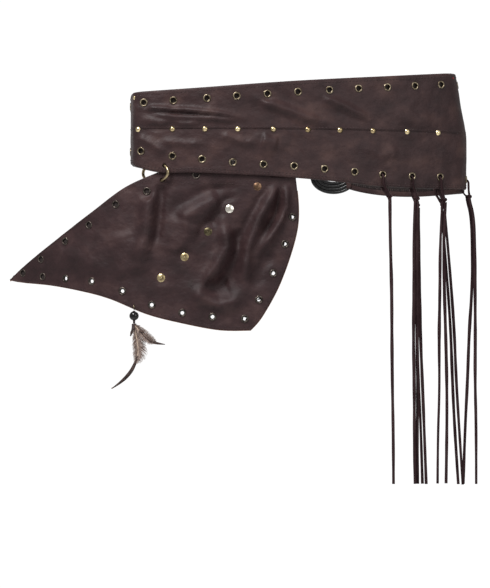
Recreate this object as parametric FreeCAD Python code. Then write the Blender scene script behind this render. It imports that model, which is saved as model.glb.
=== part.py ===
import FreeCAD, Part
import math
import os

# Wide soft leather hip belt of a pirate costume, worn as a closed ring and laced at the back.
# A pointed hip flap hangs under its front from one oval ring and one hidden strap.
# Millimetres. +Z is up, the front faces -Y, the origin is the centre of the waist opening.

V = FreeCAD.Vector
UP = V(0, 0, 1)
PARTS = "parts"

# ---- belt: plan of the closed ring (outer surface) ----
FRONT_RADIUS = 480.0
FRONT_VERTEX = V(-90.0, -105.0, 0)
LEFT_RADIUS = 400.0
LEFT_VERTEX = V(-174.0, -30.0, 0)
BACK_RADIUS = 272.0
BACK_VERTEX = V(-5.0, 92.0, 0)
RIGHT_RADIUS = 150.0
RIGHT_VERTEX = V(176.0, -5.0, 0)
CORNER_FRONT_RIGHT = 30.0
CORNER_BACK_RIGHT = 50.0
CORNER_BACK_LEFT = 60.0
CORNER_FRONT_LEFT = 14.0
RIGHT_FLARE = 0.18            # how far the right side leans in, per mm above the waist seam
RIGHT_ARCS = (1, 2, 3)        # of the eight plan arcs, those that lean
WALL_LOW = -75.0
WALL_HIGH = 80.0

# ---- belt: layers, from the outside in ----
SHELL = 1.2
INTERLINING = 1.0
LINING = 0.8
WALL = SHELL + INTERLINING + LINING

# ---- belt: edges, as (x, z) ----
TOP_EDGE = [(-185, 38.2), (-100, 43.5), (-14, 50.2), (103, 59.0), (160, 64.0), (190, 66.5)]
FRONT_LOW_EDGE = [(-185, -31.0), (-172.6, -32.0), (-168.5, -35.2), (-162, -37.8), (-152, -40.6),
                  (-101, -43.0), (-3, -47.7), (51, -52.2), (77, -54.8), (112, -56.1), (190, -56.0)]
BACK_LEFT_LOW_EDGE = [(-185, -31.0), (-90, -34.5), (12, -38.0)]
BACK_RIGHT_LOW_EDGE = [(50, -49.0), (62, -53.0), (80, -57.0), (100, -59.6), (190, -59.0)]
SEAM_Z = 1.5                  # the horizontal seam under the studs
SIDE_SEAM = [(-300, -77), (300, 28)]   # plan line that parts the front from the back panels
CLOSURE_LEFT = 10.0           # the two back edges that the lacing draws together
CLOSURE_RIGHT = 56.0
BONE_WIDTH = 3.5

# ---- eyelets, studs and rivets ----
EYELET_HOLE = 2.5
EYELET_BARREL = 2.8
EYELET_FLANGE = 4.1
EYELET_RISE = 0.74
WASHER_THICK = 0.5
PUNCH = 2.95                  # punched hole in the leather, round the barrel
TOP_ROW_DROP = 11.5
LOW_ROW_RISE = 12.0
TOP_ROW_X = [-158, -128, -94, -64, -33, -2, 30, 60, 90, 119, 147]
LOW_ROW_X = [-161, -129, -99, -68, -37, -6, 25, 56, 85, 116, 146]
STUD_X = [-164, -129, -96, -63, -27, 8, 41, 75, 111, 144]
SIDE_Y = [-14.0, 16.0]
SIDE_LOW_ROW_Z = -45.5
LEFT_SIDE_Y = [-56.0, -26.0, 4.0, 34.0]
BACK_RIGHT_X = [96.0, 125.0, 150.0]
BACK_LEFT_X = [-124.0, -94.0, -64.0, -34.0]
CLOSURE_INSET = 8.0
CLOSURE_Z = [-26.0, -9.0, 8.0, 25.0, 42.0]
CLEAR = 0.02                  # hair gap between a fitting and the leather it sits on
STUD_RADIUS = 2.9
STUD_RISE = 1.7
STUD_BACK_RADIUS = 3.0
SHANK = 1.0
BACK_THICK = 0.6              # flat back of a stud or rivet
CORNER_RIVET = (-168.0, 33.8)
CORNER_RIVET_RADIUS = 2.1
RIVET_RISE = 1.0

# ---- hip flap: plan and outline ----
FLAP_SKIN = 1.2
FLAP_LINING = 0.8
FLAP_THICK = FLAP_SKIN + FLAP_LINING
FLAP_INSET = 3.8              # its outer face, behind the belt's outer face
FLAP_WING_X = -150.0          # where the wing starts to turn back
FLAP_WING_RADIUS = 170.0
FLAP_WING_ANGLE = 37.0
FLAP_END_X = -320.0
FLAP_UPPER = [(-301, -150.4), (-288, -138), (-255, -112.4), (-214, -83), (-178, -57.2), (-144, -42)]
FLAP_RIGHT = [(-5, -40), (-1.2, -81), (-5.5, -112), (-19.7, -153.6), (-37.8, -187), (-50, -201.5)]
FLAP_LOWER = [(-50, -201.5), (-82, -201), (-120, -194), (-155, -185), (-192, -170), (-221, -162.2),
              (-255, -156), (-287, -152.8), (-301, -150.4)]
FLAP_EYELETS = [(-155, -61), (-187, -74), (-215, -94.5), (-240.5, -110.6), (-267, -129), (-287, -143),
                (-265, -147), (-240, -149), (-212, -152), (-180, -162), (-150, -176), (-119, -184),
                (-88.5, -188), (-56, -190), (-41.5, -170.6), (-27, -144), (-15.2, -114.4), (-7.5, -87),
                (-105, -44.8)]
CONCHO_RADIUS = 4.2
CONCHO_BACK_RADIUS = 3.5
FLAP_RIVETS = [(-43, -56.4), (-71.3, -79), (-93, -102), (-116.7, -127.6), (-140.5, -148.8)]

# ---- hip ring and the flap's hinge line ----
RING_WIRE = 1.5
RING_HALF_LONG = 20.8         # half axes of the oval, along the wire's centre
RING_HALF_SHORT = 9.5
RING_TURN = 45.0              # the oval's plane turns about the upright line through its two holes
RING_HOLE_U = 15.9            # from the oval's centre to that line
RING_HOLE_X = -136.4
RING_Z = -42.0
RING_FORWARD = 0.6            # the upright line lies this far in front of the wall's middle
BELT_SLOT = [(1.5, -37.5), (-3.6, -34.2)]      # slanted slots that the ring goes through:
FLAP_SLOT = [(-0.9, -49.1), (-6.0, -50.8)]     # along the wall from the upright line, height
SLOT_RADIUS = 2.9
HINGE_Z = -49.5
STRAP_X = -21.5
STRAP_WIDTH = 16.0
STRAP_TOP = -22.0
STRAP_GAP = 1.4

# ---- pendant ----
PENDANT_X = -168.0
LOOP_RADIUS = 2.6
LOOP_WIRE = 0.5
LOOP_RAISE = 1.4
BEAD_RADIUS = 4.8
BEAD_BORE = 1.3
FEATHER_THICK = 2.0

# ---- laces ----
LACE = 2.8
TIE = 2.2
TIE_REACH = 2.4               # a tie's centre line, off the leather it passes over
TIE_DROP = 3.5                # and under the belt's low edge
KNOT = 3.3
KNOT_GAP = 0.1                 # between the two ends of a tie, inside its knot
FRONT_TIES = [(85, -55.4, (92.0, -70.5, -65.5)), (116, -56.1, (120.5, -57.0, -68.0)),
              (146, -56.0, (149.8, -41.0, -68.5))]     # eyelet x, low edge there, knot
SIDE_TIE = (SIDE_Y[0], -56.0, (178.0, -12.2, -64.2))   # eyelet y, low edge there, knot
BACK_TIES = [(125, -59.3, (129.0, 61.0, -70.5)), (150, -59.2, (156.0, 44.0, -70.5))]
LACING = 3.0
LACING_REACH = 3.2
LACING_TAIL = 9.0             # the laced cord's end, below its last eyelet
HANK_CENTRE = V(40.0, 99.4, -38.0)
HANK_HALF_WIDE = 21.0
HANK_HALF_TALL = 14.0
HANK_SECTION = 5.0


def circle_centre(vertex, radius, inward):
    """Centre of a big plan arc that touches vertex and has its middle on the inward side."""
    return vertex + inward * radius


FRONT_CENTRE = circle_centre(FRONT_VERTEX, FRONT_RADIUS, V(0, 1, 0))
LEFT_CENTRE = circle_centre(LEFT_VERTEX, LEFT_RADIUS, V(1, 0, 0))
BACK_CENTRE = circle_centre(BACK_VERTEX, BACK_RADIUS, V(0, -1, 0))
RIGHT_CENTRE = circle_centre(RIGHT_VERTEX, RIGHT_RADIUS, V(-1, 0, 0))


def lean(z):
    """How far the right side is drawn in at height z."""
    return -RIGHT_FLARE * max(z, 0.0)


def fillet_centre(c1, r1, c2, r2, radius, hint):
    """Centre of the corner arc that touches both big arcs from inside, the one nearer to hint."""
    a = r1 - radius
    b = r2 - radius
    apart = c2 - c1
    d = apart.Length
    along = (a * a - b * b + d * d) / (2 * d)
    across = math.sqrt(max(a * a - along * along, 0.0))
    foot = c1 + apart * (along / d)
    side = V(-apart.y, apart.x, 0) * (across / d)
    return min([foot + side, foot - side], key=lambda p: (p - hint).Length)


def plan_arcs(z, inset=0.0):
    """The wall's plan at height z as eight arcs, front first: (centre, radius, start, end)."""
    shift = V(lean(z), 0, 0)
    big = [(FRONT_CENTRE, FRONT_RADIUS), (RIGHT_CENTRE + shift, RIGHT_RADIUS),
           (BACK_CENTRE, BACK_RADIUS), (LEFT_CENTRE, LEFT_RADIUS)]
    corners = [(CORNER_FRONT_RIGHT, V(170, -30, 0)), (CORNER_BACK_RIGHT, V(165, 40, 0)),
               (CORNER_BACK_LEFT, V(-165, 45, 0)), (CORNER_FRONT_LEFT, V(-172, -97, 0))]
    centres = []
    for i, (radius, hint) in enumerate(corners):
        c1, r1 = big[i]
        c2, r2 = big[(i + 1) % 4]
        centres.append(fillet_centre(c1, r1, c2, r2, radius, hint))

    def touch(centre, radius, corner):
        direction = corner - centre
        direction.normalize()
        return centre + direction * (radius - inset)

    arcs = []
    for i, (centre, radius) in enumerate(big):
        start = touch(centre, radius, centres[i - 1])
        end = touch(centre, radius, centres[i])
        c2, r2 = big[(i + 1) % 4]
        arcs.append((centre, radius - inset, start, end))
        arcs.append((centres[i], corners[i][0] - inset, end, touch(c2, r2, centres[i])))
    return arcs


def arc_middle(centre, start, end):
    """Direction from an arc's centre to its middle."""
    middle = (start + end) * 0.5 - centre
    middle.normalize()
    return middle


def plan_wire(z, inset):
    """Closed plan curve of the wall at height z: four big arcs and four corner arcs."""
    lift = V(0, 0, z)
    edges = []
    for centre, radius, start, end in plan_arcs(z, inset):
        middle = centre + arc_middle(centre, start, end) * radius
        edges.append(Part.Arc(start + lift, middle + lift, end + lift).toShape())
    return Part.Wire(edges)


def wall_block(inset):
    """Solid block inside the wall's surface at that inset."""
    levels = [WALL_LOW, 0.0, WALL_HIGH]
    return Part.makeLoft([plan_wire(z, inset) for z in levels], True, True)


def layer(outer, inner):
    """Closed ring of the wall between two insets."""
    return wall_block(outer).cut(wall_block(inner))


def curve(points, y=0.0):
    """Smooth edge through (x, z) points in the plane of that y."""
    spline = Part.BSplineCurve()
    spline.interpolate([V(x, y, z) for x, z in points])
    return spline.toShape()


def line(a, b, y=0.0):
    return Part.LineSegment(V(a[0], y, a[1]), V(b[0], y, b[1])).toShape()


def prism_y(edges, y0=-300.0, y1=300.0):
    """Solid that a closed outline in the XZ plane of y0 sweeps to y1."""
    face = Part.Face(Part.Wire(Part.__sortEdges__(edges)))
    return face.extrude(V(0, y1 - y0, 0))


def profile(low_edge, x0, x1):
    """Prism of a panel between its low edge and the belt's top edge, from x0 to x1."""
    y = -300.0
    low = curve(low_edge, y)
    top = curve(TOP_EDGE, y)
    left = line(TOP_EDGE[0], low_edge[0], y)
    right = line(TOP_EDGE[-1], low_edge[-1], y)
    if low_edge[0][0] > TOP_EDGE[0][0] or low_edge[-1][0] < TOP_EDGE[-1][0]:
        return profile_between(low_edge, x0, x1)
    return prism_y([low, right, top, left])


def profile_between(low_edge, x0, x1):
    """As profile, where the low edge is shorter than the top edge."""
    y = -300.0
    tall = prism_y([line((x0, -90), (x1, -90), y), line((x1, -90), (x1, 90), y),
                    line((x1, 90), (x0, 90), y), line((x0, 90), (x0, -90), y)])
    first = low_edge[0]
    last = low_edge[-1]
    under = prism_y([curve(low_edge, y), line(last, (last[0], -95), y),
                     line((last[0], -95), (first[0], -95), y), line((first[0], -95), first, y)])
    above = prism_y([curve(TOP_EDGE, y), line(TOP_EDGE[-1], (190, 95), y),
                     line((190, 95), (-185, 95), y), line((-185, 95), TOP_EDGE[0], y)])
    return tall.cut(under).cut(above)


def plan_region(front):
    """Prism of the front or the back half of the plan, parted along the side seams."""
    far = -300 if front else 300
    (xa, ya), (xb, yb) = SIDE_SEAM
    pts = [V(xa, ya, -100), V(xb, yb, -100), V(xb, far, -100), V(xa, far, -100), V(xa, ya, -100)]
    return Part.Face(Part.makePolygon(pts)).extrude(V(0, 0, 200))


def slab(z0, z1):
    return Part.makeBox(700, 700, z1 - z0, V(-350, -350, z0))


def edge_height(points, x):
    """Height of an edge at x, straight between its points."""
    for (xa, za), (xb, zb) in zip(points, points[1:]):
        if xa <= x <= xb:
            return za + (zb - za) * (x - xa) / (xb - xa)
    return points[-1][1]


# ---- places on the wall: (point on the outer face, outward normal) ----
def wall_at(z, direction, x=None, y=None):
    """Place on the wall at height z and that x or y, the outermost one along direction."""
    found = []
    for i, (centre, radius, start, end) in enumerate(plan_arcs(z)):
        offset = y - centre.y if x is None else x - centre.x
        if abs(offset) > radius:
            continue
        reach = math.sqrt(radius ** 2 - offset ** 2)
        middle = arc_middle(centre, start, end)
        for sign in (-1, 1):
            n = V(sign * reach, offset, 0) if x is None else V(offset, sign * reach, 0)
            if n.dot(middle) < (start - centre).dot(middle) - CLEAR:
                continue
            p = centre + n
            n.normalize()
            if z > 0 and i in RIGHT_ARCS:
                n.z = RIGHT_FLARE * n.x
                n.normalize()
            found.append((V(p.x, p.y, z), n))
    return max(found, key=lambda place: place[0].dot(direction))


def on_front(x, z):
    return wall_at(z, V(0, -1, 0), x=x)


def on_back(x, z):
    return wall_at(z, V(0, 1, 0), x=x)


def on_left(y, z):
    return wall_at(z, V(-1, 0, 0), y=y)


def on_right(y, z):
    return wall_at(z, V(1, 0, 0), y=y)


def low_row_z(x):
    rise = LOW_ROW_RISE + 0.055 * max(0.0, -60.0 - x)
    return edge_height(FRONT_LOW_EDGE, x) + rise


def top_row_z(x):
    return edge_height(TOP_EDGE, x) - TOP_ROW_DROP


def top_row():
    places = [on_front(x, top_row_z(x)) for x in TOP_ROW_X]
    places += [on_right(y, top_row_z(168.0)) for y in SIDE_Y]
    places += [on_back(x, top_row_z(x)) for x in BACK_RIGHT_X + BACK_LEFT_X]
    places += [on_left(y, top_row_z(-174.0)) for y in LEFT_SIDE_Y]
    return places


def low_row():
    places = [on_front(x, low_row_z(x)) for x in LOW_ROW_X]
    places += [on_right(y, SIDE_LOW_ROW_Z) for y in SIDE_Y]
    places += [on_back(x, edge_height(BACK_RIGHT_LOW_EDGE, x) + LOW_ROW_RISE) for x in BACK_RIGHT_X]
    places += [on_back(x, edge_height(BACK_LEFT_LOW_EDGE, x) + LOW_ROW_RISE) for x in BACK_LEFT_X]
    places += [on_left(y, -31.0 + LOW_ROW_RISE) for y in LEFT_SIDE_Y]
    return places


def closure_columns():
    left = [on_back(CLOSURE_LEFT - CLOSURE_INSET, z) for z in CLOSURE_Z]
    right = [on_back(CLOSURE_RIGHT + CLOSURE_INSET, z) for z in CLOSURE_Z]
    return left, right


def stud_places():
    return [on_front(x, SEAM_Z) for x in STUD_X]


# ---- metal fittings ----
def rod(base, axis, radius, length):
    return Part.makeCylinder(radius, length, base, axis)


def eyelet(place, wall):
    """Rolled flange and barrel, its flange on the outer face."""
    p, n = place
    end = -wall - WASHER_THICK
    crown = (EYELET_FLANGE + EYELET_HOLE) / 2 + 0.1
    rim = V(EYELET_FLANGE, 0, CLEAR)
    lip = V(EYELET_HOLE, 0, 0.0)
    outline = Part.Wire([
        line((EYELET_HOLE, end), (EYELET_BARREL, end)),
        line((EYELET_BARREL, end), (EYELET_BARREL, CLEAR)),
        line((EYELET_BARREL, CLEAR), (EYELET_FLANGE, CLEAR)),
        Part.Arc(rim, V(crown, 0, EYELET_RISE), lip).toShape(),
        line((EYELET_HOLE, 0.0), (EYELET_HOLE, end))])
    solid = Part.Face(outline).revolve(V(0, 0, 0), UP, 360)
    return put(solid, p, n)


def washer(place, wall):
    p, n = place
    ring = rod(V(0, 0, -wall - WASHER_THICK), UP, EYELET_FLANGE, WASHER_THICK - CLEAR)
    bore = rod(V(0, 0, -wall - 1.0), UP, EYELET_BARREL + 0.05, 2.0)
    return put(ring.cut(bore), p, n)


def domed_cap(place, radius, rise, shank_length):
    """Domed head with its shank, which goes through the wall."""
    p, n = place
    sphere = (radius ** 2 + rise ** 2) / (2 * rise)
    dome = Part.makeSphere(sphere, V(0, 0, rise - sphere))
    dome = dome.common(rod(V(0, 0, CLEAR), UP, radius + 1, rise + 1))
    shank = rod(V(0, 0, -shank_length), UP, SHANK, shank_length + 0.3)
    return put(dome.fuse(shank).removeSplitter(), p, n)


def rivet_back(place, wall, radius):
    """Flat back of a rivet or stud on the inner face, round the shank's end."""
    p, n = place
    disc = rod(V(0, 0, -wall - BACK_THICK), UP, radius, BACK_THICK - CLEAR)
    bore = rod(V(0, 0, -wall - 1.0), UP, SHANK + 0.03, 2.0)
    return put(disc.cut(bore), p, n)


def put(shape, point, normal):
    """Moves a fitting from the origin, where it points up, to its place on a wall."""
    turned = shape.copy()
    turned.Placement = FreeCAD.Placement(point, FreeCAD.Rotation(UP, normal))
    return turned


def group(shapes):
    return Part.makeCompound(shapes)


def punch(places, radius, depth=12.0):
    return group([rod(p + n * 4.0, n * -1, radius, depth) for p, n in places])


# ---- belt panels ----
def belt_panels():
    """Every layer of the front and back panels, with all its punched holes and the ring's slot."""
    left_column, right_column = closure_columns()
    holes = punch(top_row() + low_row() + left_column + right_column, PUNCH)
    shanks = punch(stud_places() + [on_front(*CORNER_RIVET)], SHANK + 0.05)
    front = profile(FRONT_LOW_EDGE, -185, 190).common(plan_region(True))
    back = plan_region(False)
    back_left = profile_between(BACK_LEFT_LOW_EDGE, -185, CLOSURE_LEFT).common(back)
    back_right = profile_between(BACK_RIGHT_LOW_EDGE, CLOSURE_RIGHT, 190).common(back)
    shell = layer(0.0, SHELL)
    middle = layer(SHELL, SHELL + INTERLINING)
    inner = layer(SHELL + INTERLINING, WALL)

    slot = slot_cutter(BELT_SLOT)

    def trimmed(solid, region):
        return solid.common(region).cut(holes).cut(shanks).cut(slot)

    parts = {
        "front_upper_shell": shell.common(front.common(slab(SEAM_Z, 90))).cut(holes).cut(shanks),
        "front_lower_shell": trimmed(shell, front.common(slab(-90, SEAM_Z))),
        "front_interlining": trimmed(middle, front),
        "front_lining": trimmed(inner, front),
        "back_left_shell": trimmed(shell, back_left),
        "back_left_lining": trimmed(inner, back_left),
        "back_right_shell": trimmed(shell, back_right),
        "back_right_lining": trimmed(inner, back_right),
    }
    bones = []
    for edge, side in ((CLOSURE_LEFT, -1), (CLOSURE_RIGHT, 1)):
        low_x = min(edge, edge + side * BONE_WIDTH)
        bones.append(Part.makeBox(BONE_WIDTH, 60, WALL_HIGH - WALL_LOW, V(low_x, 60, WALL_LOW)))
    for name, region, bone in (("left", back_left, bones[0]), ("right", back_right, bones[1])):
        strip = middle.common(region)
        parts["back_%s_interlining" % name] = strip.cut(bone).cut(holes)
        parts["closure_bone_%s" % name] = strip.common(bone)
    return parts


# ---- flap ----
def flap_face(x, inset):
    """Point of the flap's plan curve at x and its outward normal, for a face at that inset."""
    radius = FRONT_RADIUS - inset
    if x >= FLAP_WING_X:
        y = FRONT_CENTRE.y - math.sqrt(radius ** 2 - (x - FRONT_CENTRE.x) ** 2)
        n = V(x - FRONT_CENTRE.x, y - FRONT_CENTRE.y, 0)
    else:
        centre, wing, turn_x, turn_y = wing_arc(inset)
        if x >= turn_x:
            y = centre.y - math.sqrt(wing ** 2 - (x - centre.x) ** 2)
            n = V(x - centre.x, y - centre.y, 0)
        else:
            slope = math.tan(math.radians(FLAP_WING_ANGLE))
            y = turn_y + (turn_x - x) * slope
            n = V(-math.sin(math.radians(FLAP_WING_ANGLE)), -math.cos(math.radians(FLAP_WING_ANGLE)), 0)
    n.normalize()
    return V(x, y, 0), n


def wing_arc(inset):
    """The arc that turns the flap's wing back: centre, radius and its far end."""
    base = FRONT_RADIUS - FLAP_INSET
    y = FRONT_CENTRE.y - math.sqrt(base ** 2 - (FLAP_WING_X - FRONT_CENTRE.x) ** 2)
    start = V(FLAP_WING_X, y, 0)
    inward = FRONT_CENTRE - start
    inward.normalize()
    centre = start + inward * FLAP_WING_RADIUS
    radius = FLAP_WING_RADIUS - (inset - FLAP_INSET)
    angle = math.radians(FLAP_WING_ANGLE)
    return centre, radius, centre.x - radius * math.sin(angle), centre.y - radius * math.cos(angle)


def flap_plan_edges(inset, z):
    """The flap's plan curve, from the wing's end to the right, as edges at height z."""
    lift = V(0, 0, z)
    centre, radius, turn_x, turn_y = wing_arc(inset)
    inward = FRONT_CENTRE - centre
    inward.normalize()
    joint = centre - inward * radius
    half = math.radians(FLAP_WING_ANGLE)
    start_angle = math.asin((centre.x - joint.x) / radius)
    mid = 0.5 * (half + start_angle)
    middle = centre + V(-radius * math.sin(mid), -radius * math.cos(mid), 0)
    far = V(FLAP_END_X, turn_y + (turn_x - FLAP_END_X) * math.tan(half), 0)
    turn = V(turn_x, turn_y, 0)
    right, _ = flap_face(10.0, inset)
    between, _ = flap_face(-70.0, inset)
    return [Part.LineSegment(far + lift, turn + lift).toShape(),
            Part.Arc(turn + lift, middle + lift, joint + lift).toShape(),
            Part.Arc(joint + lift, between + lift, right + lift).toShape()], far + lift, right + lift


def flap_layer(outer, inner):
    """Upright band between two insets of the flap's plan curve."""
    z = -215.0
    a, a_far, a_right = flap_plan_edges(outer, z)
    b, b_far, b_right = flap_plan_edges(inner, z)
    ends = [Part.LineSegment(a_far, b_far).toShape(), Part.LineSegment(a_right, b_right).toShape()]
    face = Part.Face(Part.Wire(Part.__sortEdges__(a + b + ends)))
    return face.extrude(V(0, 0, 190.0))


def flap_outline():
    y = -300.0
    edges = [curve(FLAP_UPPER, y), line(FLAP_UPPER[-1], FLAP_RIGHT[0], y), curve(FLAP_RIGHT, y),
             curve(FLAP_LOWER, y)]
    return prism_y(edges)


def flap_place(x, z, inset=FLAP_INSET):
    p, n = flap_face(x, inset)
    return V(x, p.y, z), n


def flap_parts():
    outline = flap_outline()
    skin = flap_layer(FLAP_INSET, FLAP_INSET + FLAP_SKIN).common(outline)
    lining = flap_layer(FLAP_INSET + FLAP_SKIN, FLAP_INSET + FLAP_THICK).common(outline)
    places = [flap_place(x, z) for x, z in FLAP_EYELETS]
    rivets = [flap_place(x, z) for x, z in FLAP_RIVETS]
    loop, _ = pendant_top()
    wide = STRAP_WIDTH / 2 + 0.5
    strap_notch = Part.makeBox(2 * wide, 40, 60, V(STRAP_X - wide, -115, HINGE_Z))
    hole = rod(loop + V(0, -20, LOOP_RADIUS), V(0, 1, 0), LOOP_WIRE + 0.5, 40)
    slot = slot_cutter(FLAP_SLOT)
    cutter = punch(places, PUNCH)
    shanks = punch(rivets, SHANK + 0.05)
    parts = {}
    for name, solid in (("flap_skin", skin), ("flap_lining", lining)):
        parts[name] = solid.cut(strap_notch).cut(cutter).cut(shanks).cut(hole).cut(slot)
    parts["flap_eyelets"] = group([eyelet(p, FLAP_THICK) for p in places])
    parts["flap_washers"] = group([washer(p, FLAP_THICK) for p in places])
    through = FLAP_THICK + BACK_THICK
    parts["flap_rivet_caps"] = group([domed_cap(p, CONCHO_RADIUS, RIVET_RISE, through) for p in rivets])
    parts["flap_rivet_backs"] = group([rivet_back(p, FLAP_THICK, CONCHO_BACK_RADIUS) for p in rivets])
    return parts


# ---- hip ring ----
def ring_frame():
    """Middle of the ring and the direction of its long axis."""
    p, n = on_front(RING_HOLE_X, RING_Z)
    hole = p - n * (WALL / 2 - RING_FORWARD)
    along = V(0, 0, 1).cross(n * -1)
    along.normalize()
    if along.x < 0:
        along = along * -1
    angle = math.radians(RING_TURN)
    long_axis = along * math.cos(angle) + n * math.sin(angle)
    return hole - long_axis * RING_HOLE_U, long_axis


def slot_cutter(ends):
    """Prism through belt and flap of a slanted slot with round ends."""
    p, n = on_front(RING_HOLE_X, 0.0)
    along = V(-n.y, n.x, 0)
    a, b = [p + along * u + UP * z + n * 5.0 for u, z in ends]
    run = b - a
    run.normalize()
    side = run.cross(n) * SLOT_RADIUS
    run = run * SLOT_RADIUS
    outline = [Part.LineSegment(a + side, b + side).toShape(),
               Part.Arc(b + side, b + run, b - side).toShape(),
               Part.LineSegment(b - side, a - side).toShape(),
               Part.Arc(a - side, a - run, a + side).toShape()]
    return Part.Face(Part.Wire(outline)).extrude(n * -25.0)


def oval_ring(wire_radius):
    centre, long_axis = ring_frame()
    normal = long_axis.cross(UP)
    ellipse = Part.Ellipse(V(0, 0, 0), RING_HALF_LONG, RING_HALF_SHORT)
    turn = FreeCAD.Rotation(long_axis, UP, normal, "XYZ")
    path = Part.Wire([ellipse.toShape()])
    path.Placement = FreeCAD.Placement(centre, turn)
    start = path.Edges[0].valueAt(0.0)
    tangent = path.Edges[0].tangentAt(0.0)
    section = Part.Wire([Part.Circle(start, tangent, wire_radius).toShape()])
    return path.makePipeShell([section], True, False)


# ---- hanger strap ----
def hanger_strap():
    """Leather strap sewn inside the belt, which carries the flap's right end."""
    half = STRAP_WIDTH / 2
    box = Part.makeBox(STRAP_WIDTH, 40, STRAP_TOP - HINGE_Z - STRAP_GAP,
                       V(STRAP_X - half, -115, HINGE_Z + STRAP_GAP))
    return wall_block(WALL + 0.1).cut(wall_block(WALL + 1.7)).common(box)


# ---- pendant ----
def pendant_top():
    """Middle of the pendant's thread loop and the flap's lower edge there."""
    edge = edge_height(sorted(FLAP_LOWER), PENDANT_X)
    p, _ = flap_face(PENDANT_X, FLAP_INSET + FLAP_THICK / 2)
    return V(PENDANT_X, p.y, edge + LOOP_RAISE), edge


def feather(points, top):
    """Flat closed feather blade through (dx, dz) points round its outline."""
    y = top.y - FEATHER_THICK / 2
    spline = Part.BSplineCurve()
    spline.interpolate([V(top.x + dx, y, top.z + dz) for dx, dz in points], PeriodicFlag=True)
    return Part.Face(Part.Wire([spline.toShape()])).extrude(V(0, FEATHER_THICK, 0))


def pendant_parts():
    top, _ = pendant_top()
    loop = Part.makeTorus(LOOP_RADIUS, LOOP_WIRE, top, V(1, 0, 0))
    under = top - V(0, 0, LOOP_RADIUS + LOOP_WIRE + 0.9)
    bead_centre = under - V(0, 0, BEAD_RADIUS)
    bead = Part.makeSphere(BEAD_RADIUS, bead_centre)
    bead = bead.cut(rod(bead_centre - V(0, 0, 10), UP, BEAD_BORE, 20))
    cord = rod(bead_centre - V(0, 0, BEAD_RADIUS + 3.0), UP, BEAD_BORE - 0.1, 2 * BEAD_RADIUS + 3.4)
    tip = bead_centre - V(0, 0, BEAD_RADIUS + 3.2)
    binding = rod(tip - V(0, 0, 6.0), UP, 2.2, 6.0)
    root = tip - V(0, 0, 6.2)
    long_blade = [(0, 0), (5, -9), (7, -22), (10, -33), (6, -42), (1, -50), (-6, -59), (-16, -66),
                  (-27, -71), (-17, -61), (-8, -49), (-6, -36), (-5, -22), (-3.5, -9)]
    side_blade = [(3.2, 5.4), (9, 1), (15, -5), (22, -11), (38, -13.5), (30, -21), (18, -21), (10.5, -13)]
    small_blade = [(-3.0, 5.2), (-3.6, -2), (-5.2, -8), (-8.5, -9), (-8.0, -3), (-5.5, 2)]
    return {
        "pendant_loop": loop,
        "pendant_bead": bead,
        "pendant_cord": cord,
        "feather_binding": binding,
        "feather_long": feather(long_blade, root - V(0, 0, 0.8)),
        "feather_side": feather(side_blade, root + V(0, -2.6, 0)),
        "feather_small": feather(small_blade, root + V(0, 2.6, 0)),
    }


# ---- cords ----
def tube(points, diameter, name=None):
    """Round tube along straight runs, joined by tangent arcs as large as the runs allow."""
    points = [V(*p) for p in points]
    edges = []
    radii = []
    start = points[0]
    for i in range(1, len(points) - 1):
        before = points[i] - points[i - 1]
        after = points[i + 1] - points[i]
        shorter = min(before.Length, after.Length)
        before.normalize()
        after.normalize()
        half = before.getAngle(after) / 2
        reach = 0.45 * shorter
        radius = reach / math.tan(half)
        radii.append(radius)
        first = points[i] - before * reach
        last = points[i] + after * reach
        inward = after - before
        inward.normalize()
        middle = points[i] + inward * (radius / math.cos(half) - radius)
        edges.append(Part.LineSegment(start, first).toShape())
        edges.append(Part.Arc(first, middle, last).toShape())
        start = last
    edges.append(Part.LineSegment(start, points[-1]).toShape())
    path = Part.Wire(edges)
    direction = points[1] - points[0]
    section = Part.Wire([Part.Circle(points[0], direction, diameter / 2).toShape()])
    solid = path.makePipeShell([section], True, False)
    if name:
        share = solid.Volume / (math.pi * diameter ** 2 / 4 * path.Length)
        print("%s length %.1f volume share %.4f radii %s"
              % (name, path.Length, share, " ".join("%.1f" % r for r in radii)))
    return solid


def tie_places():
    """Where each lace is tied: its eyelet's place, the low edge there, and its knot's x, y, z."""
    places = []
    for x, edge, knot in FRONT_TIES:
        places.append((on_front(x, low_row_z(x)), edge, knot))
    y, edge, knot = SIDE_TIE
    places.append((on_right(y, SIDE_LOW_ROW_Z), edge, knot))
    for x, edge, knot in BACK_TIES:
        z = edge_height(BACK_RIGHT_LOW_EDGE, x) + LOW_ROW_RISE
        places.append((on_back(x, z), edge, knot))
    return places


def lace_tie(place, edge, knot):
    """Lace through the eyelet and round the belt's low edge, with the knot under the edge."""
    p, n = place
    knot = V(*knot)
    out = n * TIE_REACH
    back = n * -(WALL + TIE_REACH)
    low = V(p.x, p.y, edge + 1.5)
    under = (low + knot) * 0.5
    under.z = edge - TIE_DROP
    apart = n * (TIE / 2 + KNOT_GAP)
    points = [knot + apart, under + n * 1.6, low + out, p + out, p + back, low + back,
              under - n * (WALL + 1.6), knot - apart]
    loop = tube([tuple(q) for q in points], TIE)
    return loop.fuse(Part.makeSphere(KNOT, knot)).removeSplitter()


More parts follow.
